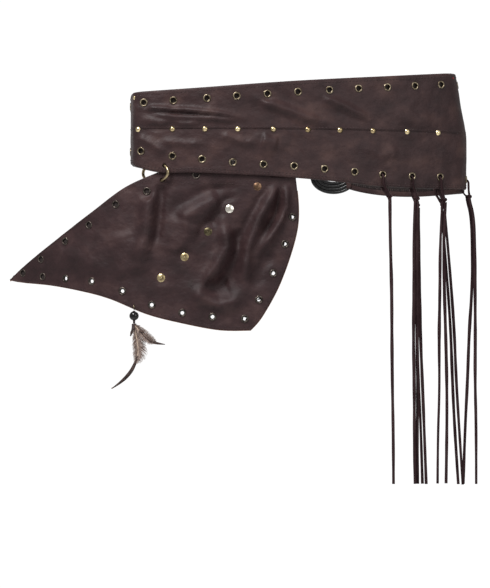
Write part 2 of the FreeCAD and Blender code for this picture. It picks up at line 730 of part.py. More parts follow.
TAILS = {
    "lace_1": [
        (92.4, -70.5, -69.5), (92.8, -70.9, -112), (94.3, -70.2, -160), (94.4, -71.0, -210),
        (94.9, -71.6, -262), (95.9, -71.2, -312), (96.0, -72.0, -359.0),
    ],
    "lace_2_left": [
        (118.9, -57.4, -72.0), (117.6, -58.0, -112), (117.8, -58.6, -160), (117.2, -58.2, -210),
        (118.2, -58.6, -262), (118.0, -59.4, -312), (118.9, -59.6, -359.8),
    ],
    "lace_2_right": [
        (122.0, -56.6, -72.0), (121.2, -56.4, -112), (121.6, -55.8, -160), (121.1, -55.6, -210),
        (121.9, -55.2, -262), (121.3, -55.6, -312), (121.9, -55.8, -360.0),
    ],
    "lace_3_left": [
        (148.2, -41.4, -72.5), (146.0, -41.8, -114), (145.7, -42.6, -162), (144.7, -43.4, -212),
        (145.2, -44.0, -264), (143.4, -43.6, -314), (143.2, -44.0, -360.6),
    ],
    "lace_3_right": [
        (151.4, -40.6, -72.5), (149.6, -40.0, -114), (150.5, -39.6, -162), (152.1, -39.2, -212),
        (153.3, -38.6, -264), (153.2, -38.2, -314), (152.4, -38.0, -360.9),
    ],
    "lace_4_left": [
        (176.3, -11.8, -67.0), (181.2, -9.6, -84), (182.2, -9.0, -120), (182.0, -8.8, -160),
        (178.8, -9.2, -206), (177.2, -9.0, -256), (174.6, -8.4, -306), (172.8, -8.4, -363.6),
    ],
    "lace_4_right": [
        (178.6, -14.6, -66.6), (183.4, -13.8, -84), (184.6, -13.4, -120), (184.7, -13.4, -160),
        (184.9, -14.2, -206), (184.6, -13.8, -256), (185.9, -13.6, -306), (185.9, -13.0, -363.4),
    ],
    "lace_5_left": [
        (127.6, 61.6, -74.6), (127.2, 62.2, -116), (128.4, 62.8, -162), (129.4, 63.6, -212),
        (131.4, 64.0, -262), (133.6, 63.6, -314), (135.2, 64.2, -369.0),
    ],
    "lace_5_right": [
        (130.8, 60.8, -74.6), (131.0, 60.6, -116), (132.0, 60.0, -162), (132.8, 59.8, -212),
        (134.9, 59.2, -262), (136.9, 59.4, -314), (138.9, 59.0, -369.0),
    ],
    "lace_6_left": [
        (154.6, 45.8, -74.6), (157.6, 46.4, -114), (161.2, 47.0, -160), (164.4, 47.2, -208),
        (166.0, 47.8, -256), (168.6, 47.6, -312), (172.4, 48.0, -368.2),
    ],
    "lace_6_right": [
        (157.4, 43.4, -74.6), (160.8, 42.8, -114), (164.6, 42.6, -160), (167.8, 42.0, -208),
        (169.6, 42.2, -256), (173.0, 41.6, -312), (176.6, 41.6, -368.2),
    ],
}


def back_lacing():
    """One cord laced through both columns of closure eyelets, rung by rung, from the top down."""
    left, right = closure_columns()
    points = []
    reach_out = LACING_REACH
    reach_in = WALL + LACING_REACH
    rows = list(range(len(CLOSURE_Z)))[::-1]
    sides = [left, right]
    top_p, top_n = left[rows[0]]
    points.append(top_p - top_n * reach_in + V(-9.0, 0, 3.0))
    for k, row in enumerate(rows):
        first, second = (sides[0], sides[1]) if k % 2 == 0 else (sides[1], sides[0])
        leave = (1, -1) if row > 0 else (1,)
        for column, order in ((first, (-1, 1)), (second, leave)):
            p, n = column[row]
            for sign in order:
                points.append(p + (n * reach_out if sign > 0 else n * -reach_in))
    points.append(points[-1] + V(-1.0, 1.5, -LACING_TAIL))
    return tube([tuple(q) for q in points], LACING, "back_lacing")


def lace_hank():
    """Outer shape of the wound surplus of the black cord, an oval bundle under the closure."""
    ellipse = Part.Ellipse(V(0, 0, 0), HANK_HALF_WIDE, HANK_HALF_TALL)
    path = Part.Wire([ellipse.toShape()])
    path.Placement = FreeCAD.Placement(HANK_CENTRE, FreeCAD.Rotation(V(1, 0, 0), 90))
    start = path.Edges[0].valueAt(0.0)
    tangent = path.Edges[0].tangentAt(0.0)
    section = Part.Wire([Part.Circle(start, tangent, HANK_SECTION).toShape()])
    return path.makePipeShell([section], True, False)


def main():
    os.makedirs(PARTS, exist_ok=True)
    parts = belt_panels()
    left, right = closure_columns()
    parts["top_row_eyelets"] = group([eyelet(p, WALL) for p in top_row()])
    parts["top_row_washers"] = group([washer(p, WALL) for p in top_row()])
    parts["low_row_eyelets"] = group([eyelet(p, WALL) for p in low_row()])
    parts["low_row_washers"] = group([washer(p, WALL) for p in low_row()])
    parts["closure_eyelets"] = group([eyelet(p, WALL) for p in left + right])
    parts["closure_washers"] = group([washer(p, WALL) for p in left + right])
    through = WALL + BACK_THICK
    parts["stud_caps"] = group([domed_cap(p, STUD_RADIUS, STUD_RISE, through) for p in stud_places()])
    parts["stud_backs"] = group([rivet_back(p, WALL, STUD_BACK_RADIUS) for p in stud_places()])
    parts["corner_rivet"] = domed_cap(on_front(*CORNER_RIVET), CORNER_RIVET_RADIUS, RIVET_RISE, WALL)
    parts["hip_ring"] = oval_ring(RING_WIRE)
    parts["hanger_strap"] = hanger_strap()
    parts.update(flap_parts())
    parts.update(pendant_parts())
    for i, (place, edge, knot) in enumerate(tie_places()):
        parts["lace_tie_%d" % (i + 1)] = lace_tie(place, edge, knot)
    for name, points in TAILS.items():
        parts[name + "_tail"] = tube(points, LACE, name + "_tail")
    parts["back_lacing"] = back_lacing()
    parts["back_lace_hank"] = lace_hank()
    for name, shape in parts.items():
        solids = shape.Solids
        if not shape.isValid() or not solids or min(s.Volume for s in solids) <= 0:
            print("CHECK", name, shape.isValid(), len(solids))
        keep = solids[0] if len(solids) == 1 else Part.makeCompound(solids)
        keep.exportStep(os.path.join(PARTS, name + ".step"))
    print(len(parts), "parts")


main()
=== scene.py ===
import bpy
import functools
import math
import random
import numpy as np
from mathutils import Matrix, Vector, noise


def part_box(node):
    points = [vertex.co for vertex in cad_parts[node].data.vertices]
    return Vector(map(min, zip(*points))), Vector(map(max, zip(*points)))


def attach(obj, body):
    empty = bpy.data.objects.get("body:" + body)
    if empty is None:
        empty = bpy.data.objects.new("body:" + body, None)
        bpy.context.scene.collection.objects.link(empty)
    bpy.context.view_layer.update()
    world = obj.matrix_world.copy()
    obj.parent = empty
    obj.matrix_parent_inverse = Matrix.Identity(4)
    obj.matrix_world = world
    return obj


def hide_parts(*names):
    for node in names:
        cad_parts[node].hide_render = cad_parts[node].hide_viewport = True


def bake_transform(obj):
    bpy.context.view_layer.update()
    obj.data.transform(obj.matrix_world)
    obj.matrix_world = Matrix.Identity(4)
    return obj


# Hip belt of a pirate costume: leather, linings, threads, laces, black cord and feathers, built
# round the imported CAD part. Tables are in millimetres; everything built is turned into metres.
MM = 0.001
SEED = 11

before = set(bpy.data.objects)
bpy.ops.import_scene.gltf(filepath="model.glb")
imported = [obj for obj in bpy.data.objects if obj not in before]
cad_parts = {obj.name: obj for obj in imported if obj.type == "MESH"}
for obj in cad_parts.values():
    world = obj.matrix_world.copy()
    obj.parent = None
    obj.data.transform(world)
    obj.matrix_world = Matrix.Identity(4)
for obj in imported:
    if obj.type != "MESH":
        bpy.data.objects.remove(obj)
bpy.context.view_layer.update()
scene = bpy.context.scene

# ---- camera (metres) ----
CAMERA_PLACE = (-0.05565, -2.625, -0.165)
CAMERA_DISTANCE = 2.625
FRAME_WIDTH = 0.5145          # width of the view at the origin's depth

# ---- belt plan and layers, as in the part ----
FRONT_RADIUS, FRONT_VERTEX = 480.0, (-90.0, -105.0)
LEFT_RADIUS, LEFT_VERTEX = 400.0, (-174.0, -30.0)
BACK_RADIUS, BACK_VERTEX = 272.0, (-5.0, 92.0)
RIGHT_RADIUS, RIGHT_VERTEX = 150.0, (176.0, -5.0)
CORNERS = [(30.0, (170, -30)), (50.0, (165, 40)), (60.0, (-165, 45)), (14.0, (-172, -97))]
RIGHT_FLARE = 0.18
WALL = 3.0
TOP_EDGE = [(-185, 38.2), (-100, 43.5), (-14, 50.2), (103, 59.0), (160, 64.0), (190, 66.5)]
FRONT_LOW_EDGE = [(-185, -31.0), (-172.6, -32.0), (-168.5, -35.2), (-162, -37.8), (-152, -40.6),
                  (-101, -43.0), (-3, -47.7), (51, -52.2), (77, -54.8), (112, -56.1), (190, -56.0)]
BACK_LEFT_LOW_EDGE = [(-185, -31.0), (-90, -34.5), (12, -38.0)]
BACK_RIGHT_LOW_EDGE = [(50, -49.0), (62, -53.0), (80, -57.0), (100, -59.6), (190, -59.0)]
SEAM_Z = 1.5
LEFT_SEAM = (-173.0, -54.8)
RIGHT_SEAM = (176.0, 6.3)
CLOSURE_LEFT = (10.0, 91.6)
CLOSURE_RIGHT = (56.0, 85.1)
LEATHER_THICK = 0.9
LINING_THICK = 0.6
HEM = 6.5                     # turned edge inside the belt
GRID = 1.7                    # size of one square of the leather's mesh
LAP = 0.1                     # how far the upper leather stands off at the lapped seam
HOLE = 3.1                    # opening in the leather under an eyelet's flange
CORD_HOLE = 2.3
HOLE_REACH = 7.0              # how far a hole cuts along its axis
FLAP_LINING_HOLE = 2.0        # the flap's lining is punched smaller than its leather
HEM_ROWS = 4                  # mesh rows across a turned edge, and steps round its bend
BEND_STEPS = 6
PANEL_ROWS = 44               # mesh rows up a panel with both edges turned, and up any other
SHORT_ROWS = 24
LINING_GRID = 2.2
LINING_TUCK = 1.0             # how far the belt's lining runs in under the turned edges
FITTING_CLEAR = (5.0, 10.0)   # wrinkles fade in between these distances from a fitting
BINDING_PROUD = 0.5           # how far the closure's binding stands off the wall's two faces
BINDING_ROWS = [4.5, 3.0, 1.5, 0.2]    # its rows on each face, inwards from the edge
BINDING_BULGE = 1.6
BINDING_STEPS = 60
BINDING_THICK = 0.5
STITCH_LENGTH = 2.5
STITCH_GAP = 1.2
STITCH_STEP = 2.0             # step of the line that a row of stitches follows
SEAM_STITCH = 2.2             # how far the lapped seam's stitches are above it
RED_MARK = (160.0, 59.0)      # x and height of the scrap of red thread
# sections of one stitch: share of its length, height over the leather, share of its thickness
STITCH_SECTIONS = ((0.0, -0.15, 0.5), (0.25, 0.12, 1.0), (0.75, 0.12, 1.0), (1.0, -0.15, 0.5))

# ---- flap, as in the part ----
FLAP_INSET = 3.8
FLAP_WING_X = -150.0
FLAP_WING_RADIUS = 170.0
FLAP_WING_ANGLE = math.radians(37.0)
FLAP_UPPER = [(-301, -150.4), (-288, -138), (-255, -112.4), (-214, -83), (-178, -57.2), (-144, -42)]
FLAP_TOP_RIGHT = (-5, -40)
FLAP_RIGHT = [(-5, -40), (-1.2, -81), (-5.5, -112), (-19.7, -153.6), (-37.8, -187), (-50, -201.5)]
FLAP_LOWER = [(-301, -150.4), (-287, -152.8), (-255, -156), (-221, -162.2), (-192, -170),
              (-155, -185), (-120, -194), (-82, -201), (-50, -201.5)]
FLAP_COLUMNS = 210
FLAP_ROWS = 120
FLAP_HIDDEN_ROWS = 14         # top rows of its right side, which have no raw edge
FLAP_CLEAR = (4.6, 11.0)
FLAP_LINING_THICK = 0.8
FLAP_LINING_GAP = 0.15
FLAP_STITCH = 0.22            # half thickness of its thread
RAW_EDGE_DEPTH = 0.9          # of the raw edge's middle under the skin's face
OUTLINE_STEP = 0.5
STRAP_X = -21.5
STRAP_WIDTH = 16.0
STRAP_THICK = 1.3
STRAP_COLUMNS = 12
STRAP_PROFILE = [(-22.0, 3.15), (-28.0, 3.15), (-34.0, 3.2), (-38.0, 3.3), (-41.5, 4.0), (-44.0, 6.0),
                 (-46.0, 7.0), (-50.0, 7.2), (-58.0, 7.2), (-64.0, 7.2)]     # height, inset
BELT_RING_HOLE = (-137.0, -35.6)
FLAP_RING_HOLE = (-139.6, -50.1)
NOTCH_Z = -45.8               # the flap's notch for the strap is above this
# holes of the flap that its lining closes from behind
CLOSED_EYELETS = [FLAP_RING_HOLE, (-105, -44.8), (-155, -61), (-187, -74), (-215, -94.5), (-240.5, -110.6),
                  (-267, -129), (-287, -143), (-265, -147)]
CLOSED_WITHIN = 4.0           # an eyelet this near to one of these places is closed
CLOSED_LEFT_OF = -85.0        # so are the top eyelets of the belt's front left of this

# ---- wrinkles of the front: points (x, z), half width, height ----
FRONT_CREASES = [
    ([(-165, 24), (-148, 22.5), (-117, 21.0), (-83, 17.4), (-56, 12.5)], 2.6, 1.7),
    ([(-150, 17), (-124, 13.8), (-89, 12.6), (-58, 9.4)], 2.2, 1.3),
    ([(-146, 19.6), (-120, 17.4), (-88, 15.2), (-60, 11.0)], 1.6, -0.8),
    ([(-160, 12), (-140, 8), (-118, 6), (-96, 6)], 5.0, 1.2),
    ([(-50, 27), (-31, 18), (-8, 8)], 5.0, -0.8),
    ([(-42, 31), (-20, 23.5), (2, 15), (24, 9)], 4.6, 1.8),
    ([(-80, -4), (-59, -11.5), (-44, -13)], 3.6, 1.0),
    ([(-40, -10), (-22, -14)], 8.0, 1.9),
    ([(-140, -11), (-117, -13.4), (-96, -14)], 3.0, 0.9),
    ([(-165, -6), (-148, -14), (-136, -24)], 4.0, 1.0),
    ([(22, 36), (38, 28.5), (58, 18.5), (70, 14)], 4.4, 1.6),
    ([(36, 24), (52, 16), (66, 12)], 4.0, -0.8),
    ([(62, -16), (84, -22), (104, -20)], 6.0, 0.9),
    ([(96, 20), (122, 12), (140, 14)], 8.0, 0.9),
]

# ---- folds of the flap: points (x, z), half width, height ----
FLAP_FOLDS = [
    ([(-151, -56), (-153, -85), (-155, -110), (-163, -135)], 7.0, 4.4),
    ([(-140, -50), (-142, -77), (-145, -106), (-152, -122)], 4.2, -3.0),
    ([(-60, -50), (-90, -60), (-118, -74), (-133, -86)], 6.0, -2.6),
    ([(-80, -66), (-104, -78), (-124, -92)], 11.0, 3.6),
    ([(-110, -92), (-120, -112), (-124, -128)], 12.0, 2.6),
    ([(-66, -60), (-84, -84), (-104, -112)], 4.5, -2.4),
    ([(-77, -92), (-74, -117), (-86, -140), (-99, -158)], 5.5, 4.2),
    ([(-64, -96), (-62, -122), (-72, -146), (-86, -160)], 5.0, -2.8),
    ([(-22, -52), (-42, -88), (-54, -120), (-57, -158)], 5.0, 4.0),
    ([(-32, -54), (-50, -88), (-62, -112)], 4.0, -1.8),
    ([(-13, -50), (-14, -80), (-27, -102), (-42, -124)], 3.6, 3.8),
    ([(-19, -56), (-24, -84), (-36, -106)], 3.0, -2.6),
    ([(-30, -120), (-42, -146), (-50, -160)], 6.0, -1.8),
    ([(-110, -160), (-97, -170), (-82, -176), (-68, -173), (-56, -164)], 6.0, 3.2),
    ([(-96, -152), (-84, -158), (-70, -154)], 8.0, -2.2),
    ([(-185, -100), (-178, -125), (-172, -150)], 14.0, 2.2),
    ([(-250, -126), (-215, -130), (-190, -142)], 12.0, 1.4),
    ([(-95, -47), (-60, -50), (-30, -50)], 3.2, 0.9),
]

# ---- what the tables' heights and half widths are multiplied by; uneven ripples: height, size, seed ----
FRONT_GAINS = (2.5, 1.1)
FLAP_GAINS = (1.8, 1.25)
FRONT_RANGE = (-0.8, 4.4)     # lowest and highest wrinkle of the front
FRONT_RIPPLES = [(0.9, 26.0, 3.0), (0.25, 9.0, 7.0)]
BACK_RIPPLES = [(0.56, 24.0, 5.0), (0.24, 9.0, 2.0)]
FLAP_RIPPLES = [(1.3, 34.0, 9.0), (0.3, 10.0, 4.0)]
FLAP_EDGE_RIPPLES = [(0.8, 30.0, 6.0)]

# ---- laces and cords ----
LACE_WIDTH = 3.5
LACE_THICK = 2.6
TIE_WIDTH = 3.0
TIE_THICK = 1.7
CORD = 3.5
LACE_STEP = 1.5               # steps of the built lines of tails, ties and lacing, hank
TIE_STEP = 1.2
HANK_STEP = 1.6
TIE_REACH = 2.4
TIE_DROP = 3.5
TIE_APART = 1.2               # from the knot's middle to each end of a tie
TIE_SPREAD = 1.6              # how far the tie's two strands stand off the wall under its edge
KNOT = 2.1
KNOT_STEPS = 60
INSIDE_KNOT = 2.4             # how far a tail runs up into its knot
# each lace tail: its length, and its line from its knot to its end
TAILS = {
    "lace_1": (291.9, [
        (92.4, -70.5, -69.5), (92.8, -70.9, -112), (94.3, -70.2, -160), (94.4, -71.0, -210),
        (94.9, -71.6, -262), (95.9, -71.2, -312), (96.0, -72.0, -359.0)]),
    "lace_2_left": (290.2, [
        (118.9, -57.4, -72.0), (117.6, -58.0, -112), (117.8, -58.6, -160), (117.2, -58.2, -210),
        (118.2, -58.6, -262), (118.0, -59.4, -312), (118.9, -59.6, -359.8)]),
    "lace_2_right": (290.4, [
        (122.0, -56.6, -72.0), (121.2, -56.4, -112), (121.6, -55.8, -160), (121.1, -55.6, -210),
        (121.9, -55.2, -262), (121.3, -55.6, -312), (121.9, -55.8, -360.0)]),
    "lace_3_left": (290.6, [
        (148.2, -41.4, -72.5), (146.0, -41.8, -114), (145.7, -42.6, -162), (144.7, -43.4, -212),
        (145.2, -44.0, -264), (143.4, -43.6, -314), (143.2, -44.0, -360.6)]),
    "lace_3_right": (290.9, [
        (151.4, -40.6, -72.5), (149.6, -40.0, -114), (150.5, -39.6, -162), (152.1, -39.2, -212),
        (153.3, -38.6, -264), (153.2, -38.2, -314), (152.4, -38.0, -360.9)]),
    "lace_4_left": (300.0, [
        (176.3, -11.8, -67.0), (181.2, -9.6, -84), (182.2, -9.0, -120), (182.0, -8.8, -160),
        (178.8, -9.2, -206), (177.2, -9.0, -256), (174.6, -8.4, -306), (172.8, -8.4, -363.6)]),
    "lace_4_right": (299.8, [
        (178.6, -14.6, -66.6), (183.4, -13.8, -84), (184.6, -13.4, -120), (184.7, -13.4, -160),
        (184.9, -14.2, -206), (184.6, -13.8, -256), (185.9, -13.6, -306), (185.9, -13.0, -363.4)]),
    "lace_5_left": (296.9, [
        (127.6, 61.6, -74.6), (127.2, 62.2, -116), (128.4, 62.8, -162), (129.4, 63.6, -212),
        (131.4, 64.0, -262), (133.6, 63.6, -314), (135.2, 64.2, -369.0)]),
    "lace_5_right": (296.9, [
        (130.8, 60.8, -74.6), (131.0, 60.6, -116), (132.0, 60.0, -162), (132.8, 59.8, -212),
        (134.9, 59.2, -262), (136.9, 59.4, -314), (138.9, 59.0, -369.0)]),
    "lace_6_left": (296.6, [
        (154.6, 45.8, -74.6), (157.6, 46.4, -114), (161.2, 47.0, -160), (164.4, 47.2, -208),
        (166.0, 47.8, -256), (168.6, 47.6, -312), (172.4, 48.0, -368.2)]),
    "lace_6_right": (296.7, [
        (157.4, 43.4, -74.6), (160.8, 42.8, -114), (164.6, 42.6, -160), (167.8, 42.0, -208),
        (169.6, 42.2, -256), (173.0, 41.6, -312), (176.6, 41.6, -368.2)]),
}
# each tie: where its eyelet is, the low edge there, its knot
FRONT_TIES = [(85, -42.9, -55.4, (92.0, -70.5, -65.5)), (116, -44.1, -56.1, (120.5, -57.0, -68.0)),
              (146, -44.1, -56.0, (149.8, -41.0, -68.5))]
SIDE_TIE = (-14.0, -45.5, -56.0, (178.0, -12.2, -64.2))
BACK_TIES = [(125, -47.4, -59.3, (129.0, 61.0, -70.5)), (150, -47.2, -59.2, (156.0, 44.0, -70.5))]
CLOSURE_X = (2.0, 64.0)
CLOSURE_Z = [-26.0, -9.0, 8.0, 25.0, 42.0]
LACING_REACH = 3.2
LACING_TAIL = 9.0
HANK_CENTRE = (40.0, 99.4, -38.0)
HANK_HALF_WIDE = 24.2         # of its outermost turn
HANK_HALF_TALL = 17.2
HANK_PITCH = 3.4
HANK_TURNS = 4
HANK_STEPS = 20
LACING_PRESSED = 0.2          # how much thinner the cord is where it is pulled tight
WRAP_TURNS = 3                # of the cord wound round the hank
WRAP_STEPS = 16
WRAP_PITCH = 0.055            # sideways at each step
WRAP_PLACE = (-1.6, 0.0, 11.6)         # its start, from the hank's centre
WRAP_HALF = (3.6, 8.4)        # half its depth and half its height

# ---- feathers: points (x, z) of each quill below its binding ----
FEATHER_LONG = [(-165.8, -207.0), (-163.8, -219.0), (-164.2, -227.5), (-168.0, -239.0),
                (-175.4, -249.0), (-185.0, -257.2), (-190.5, -260.6)]
FEATHER_SIDE = [(-163.0, -202.0), (-155.7, -210.0), (-149.1, -214.6), (-136.5, -216.0)]
FEATHER_SMALL = [(-169.8, -201.0), (-171.6, -207.5)]
BARB_STEPS = 3
BARB_CURL = 0.35
WHIP_TURNS = 7                # of the thread that binds the feathers
WHIP_STEPS = 12
WHIP_RADIUS = 2.0
WHIP_START = 0.4
WHIP_TALL = 5.4

# ---- studio (metres) ----
STUDIO_WHITE = (0.94, 0.94, 0.94, 1.0)
FLOOR_HALF = 6.0
FLOOR_Z = -1.5
# the world's strength by the view's Y direction: brighter only straight behind the object
WORLD_STRENGTH = {"From Min": 0.9, "From Max": 0.975, "To Min": 0.5, "To Max": 1.05}
LIGHT_AIM = (-0.05, 0.0, -0.05)
LIGHTS = [("key_light", (-0.9, -1.4, 1.7), 0.9, 92.0), ("fill_light", (1.3, -1.6, 0.5), 1.4, 15.0),
          ("back_light", (0.3, 1.6, 1.2), 1.2, 16.0)]     # name, place, size, watts


def new_object(name, data):
    obj = bpy.data.objects.new(name, data)
    scene.collection.objects.link(obj)
    return obj


def make_camera():
    data = bpy.data.cameras.new("main_camera")
    data.sensor_fit = "HORIZONTAL"
    data.angle = 2 * math.atan(FRAME_WIDTH / 2 / CAMERA_DISTANCE)
    scene.camera = new_object("main_camera", data)
    scene.camera.location = CAMERA_PLACE
    scene.camera.rotation_euler = (math.radians(90), 0, 0)


# ---- plan of the wall ----
def fillet_centre(c1, r1, c2, r2, radius, hint):
    """Centre of the corner arc that touches both big arcs from inside, the one nearer to hint."""
    a = r1 - radius
    b = r2 - radius
    apart = c2 - c1
    d = apart.length
    along = (a * a - b * b + d * d) / (2 * d)
    across = math.sqrt(max(a * a - along * along, 0.0))
    foot = c1 + apart * (along / d)
    side = Vector((-apart.y, apart.x)) * (across / d)
    return min([foot + side, foot - side], key=lambda p: (p - hint).length)


@functools.lru_cache(maxsize=4000)
def plan_arcs(lean):
    """The plan as eight arcs (centre, radius, start angle, sweep), front first, with that lean."""
    front = Vector(FRONT_VERTEX) + Vector((0, FRONT_RADIUS))
    right = Vector(RIGHT_VERTEX) + Vector((-RIGHT_RADIUS + lean, 0))
    back = Vector(BACK_VERTEX) + Vector((0, -BACK_RADIUS))
    left = Vector(LEFT_VERTEX) + Vector((LEFT_RADIUS, 0))
    big = [(front, FRONT_RADIUS), (right, RIGHT_RADIUS), (back, BACK_RADIUS), (left, LEFT_RADIUS)]
    centres = []
    for i, (radius, hint) in enumerate(CORNERS):
        c1, r1 = big[i]
        c2, r2 = big[(i + 1) % 4]
        centres.append(fillet_centre(c1, r1, c2, r2, radius, Vector(hint)))
    arcs = []
    for i, (centre, radius) in enumerate(big):
        arcs.append((centre, radius, centres[i - 1] - centre, centres[i] - centre))
        following = big[(i + 1) % 4][0]
        arcs.append((centres[i], CORNERS[i][0], centres[i] - centre, centres[i] - following))
    result = []
    for centre, radius, start, end in arcs:
        first = math.atan2(start.y, start.x)
        sweep = (math.atan2(end.y, end.x) - first) % (2 * math.pi)
        result.append((centre.x, centre.y, radius, first, sweep))
    return result


ARC_LENGTHS = [radius * sweep for _, _, radius, _, sweep in plan_arcs(0.0)]
PERIMETER = sum(ARC_LENGTHS)


def wall(s, z, depth=0.0):
    """Point of the wall at distance s round the plan from the front's left end, and its normal."""
    rest = s % PERIMETER
    index = 0
    while rest > ARC_LENGTHS[index] and index < 7:
        rest -= ARC_LENGTHS[index]
        index += 1
    cx, cy, radius, first, sweep = plan_arcs(round(-RIGHT_FLARE * max(z, 0.0), 2))[index]
    angle = first + sweep * rest / ARC_LENGTHS[index]
    nx = math.cos(angle)
    ny = math.sin(angle)
    reach = radius - depth
    return (cx + nx * reach, cy + ny * reach, z), (nx, ny, 0.0)


PLAN_STEP = 0.25
PLAN_STEPS = np.arange(0.0, PERIMETER, PLAN_STEP)
FAR = 1e9


@functools.lru_cache(maxsize=40)
def plan_points(z):
    return np.array([wall(s, z)[0][:2] for s in PLAN_STEPS])


def place_on_plan(x, y):
    """Distance s of the plan's point nearest to (x, y)."""
    points = plan_points(0.0)
    return float(PLAN_STEPS[np.argmin(np.hypot(points[:, 0] - x, points[:, 1] - y))])


def wall_where(axis, value, side, z):
    """Point and normal of the wall where x (axis 0) or y (axis 1) has that value, at height z.

    side is -1 for the front or the left, 1 for the back or the right."""
    points = plan_points(z)
    miss = np.where(points[:, 1 - axis] * side > 0, np.abs(points[:, axis] - value), FAR)
    return wall(float(PLAN_STEPS[np.argmin(miss)]), z)


# where the belt's panels start and end, round the plan
S_LEFT = place_on_plan(*LEFT_SEAM) - PERIMETER
S_RIGHT = place_on_plan(*RIGHT_SEAM)
S_CLOSE_RIGHT = place_on_plan(*CLOSURE_RIGHT)
S_CLOSE_LEFT = place_on_plan(*CLOSURE_LEFT)


def edge_curve(points):
    """Smooth height of an edge at x, through its (x, z) points."""
    xs = np.array([p[0] for p in points], float)
    zs = np.array([p[1] for p in points], float)
    slopes = np.gradient(zs, xs)

    def height(x):
        i = int(np.clip(np.searchsorted(xs, x) - 1, 0, len(xs) - 2))
        h = xs[i + 1] - xs[i]
        t = min(max((x - xs[i]) / h, 0.0), 1.0)
        a = (2 * t ** 3 - 3 * t ** 2 + 1) * zs[i] + (t ** 3 - 2 * t ** 2 + t) * h * slopes[i]
        b = (3 * t ** 2 - 2 * t ** 3) * zs[i + 1] + (t ** 3 - t ** 2) * h * slopes[i + 1]
        return a + b
    return height


top_height = edge_curve(TOP_EDGE)
front_low = edge_curve(FRONT_LOW_EDGE)
back_left_low = edge_curve(BACK_LEFT_LOW_EDGE)
back_right_low = edge_curve(BACK_RIGHT_LOW_EDGE)


def edge_at(s, height):
    """Height of an edge curve where the wall is at s, which leans with height."""
    z = 0.0
    for _ in range(4):
        z = height(wall(s, z)[0][0])
    return z


# ---- shapes of folds and masks ----
def smooth(value, low, high):
    t = np.clip((value - low) / (high - low), 0.0, 1.0)
    return t * t * (3 - 2 * t)


def near_polyline(x, z, points):
    """Distance to a polyline, and how far along it the nearest point is, from 0 to 1."""
    best = np.full(x.shape, FAR)
    along = np.zeros(x.shape)
    lengths = [math.dist(a, b) for a, b in zip(points, points[1:])]
    total = sum(lengths)
    passed = 0.0
    for (xa, za), (xb, zb), length in zip(points, points[1:], lengths):
        t = np.clip(((x - xa) * (xb - xa) + (z - za) * (zb - za)) / length ** 2, 0.0, 1.0)
        distance = np.hypot(x - xa - t * (xb - xa), z - za - t * (zb - za))
        nearer = distance < best
        best = np.where(nearer, distance, best)
        along = np.where(nearer, (passed + t * length) / total, along)
        passed += length
    return best, along


def folds(x, z, table, gain, widen):
    """Height of all the folds of a table at (x, z), each raised and widened by those factors."""
    height = np.zeros(x.shape)
    for points, half_width, amount in table:
        distance, along = near_polyline(x, z, points)
        taper = smooth(along, 0.0, 0.18) * smooth(1 - along, 0.0, 0.22)
        height += amount * (0.25 + 0.75 * taper) * np.exp(-(distance / (half_width * widen)) ** 2)
    return gain * height


def ripple(x, z, size, seed):
    """Gentle uneven noise, from about -1 to 1."""
    flat = [noise.noise(Vector((a / size, b / size, seed))) for a, b in zip(x.ravel(), z.ravel())]
    return np.array(flat).reshape(x.shape)


def ripples(x, z, table):
    return sum(height * ripple(x, z, size, seed) for height, size, seed in table)


# ---- meshes ----
def make_object(name, points, faces, material, body, smooth_faces=True):
    """Mesh object from millimetre points, riding on a CAD body."""
    mesh = bpy.data.meshes.new(name)
    mesh.from_pydata([tuple(float(c) * MM for c in p) for p in points], [], faces)
    mesh.materials.append(material)
    if smooth_faces:
        mesh.shade_smooth()
    obj = new_object(name, mesh)
    if body:
        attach(obj, body)
    return obj


def tube_faces(first, rings, sides, closed=False):
    """Faces of a tube whose rings of points follow each other from that index, its ends closed."""
    faces = []
    for i in range(rings if closed else rings - 1):
        a = first + i * sides
        b = first + (i + 1) % rings * sides
        for k in range(sides):
            following = (k + 1) % sides
            faces.append((a + k, a + following, b + following, b + k))
    if not closed:
        last = first + (rings - 1) * sides
        faces.append(tuple(reversed(range(first, first + sides))))
        faces.append(tuple(range(last, last + sides)))
    return faces


def grid_normals(grid):
    rows = np.gradient(grid, axis=0)
    columns = np.gradient(grid, axis=1)
    normals = np.cross(columns, rows)
    return normals / np.maximum(np.linalg.norm(normals, axis=2, keepdims=True), 1e-9)


def open_holes(grid, keep, holes):
    """Opens round holes (centre, axis, radius) in a grid: its points there move to their rims."""
    for centre, axis, radius in holes:
        offset = grid - np.array(centre)
        along = offset @ np.array(axis)
        across = offset - along[..., None] * np.array(axis)
        distance = np.linalg.norm(across, axis=2)
        inside = (distance < radius) & (np.abs(along) < HOLE_REACH)
        if not inside.any():
            continue
        whole = inside[:-1, :-1] & inside[1:, :-1] & inside[:-1, 1:] & inside[1:, 1:]
        keep &= ~whole
        push = np.where(inside, radius - distance, 0.0) / np.maximum(distance, 0.2)
        grid += across * push[..., None]


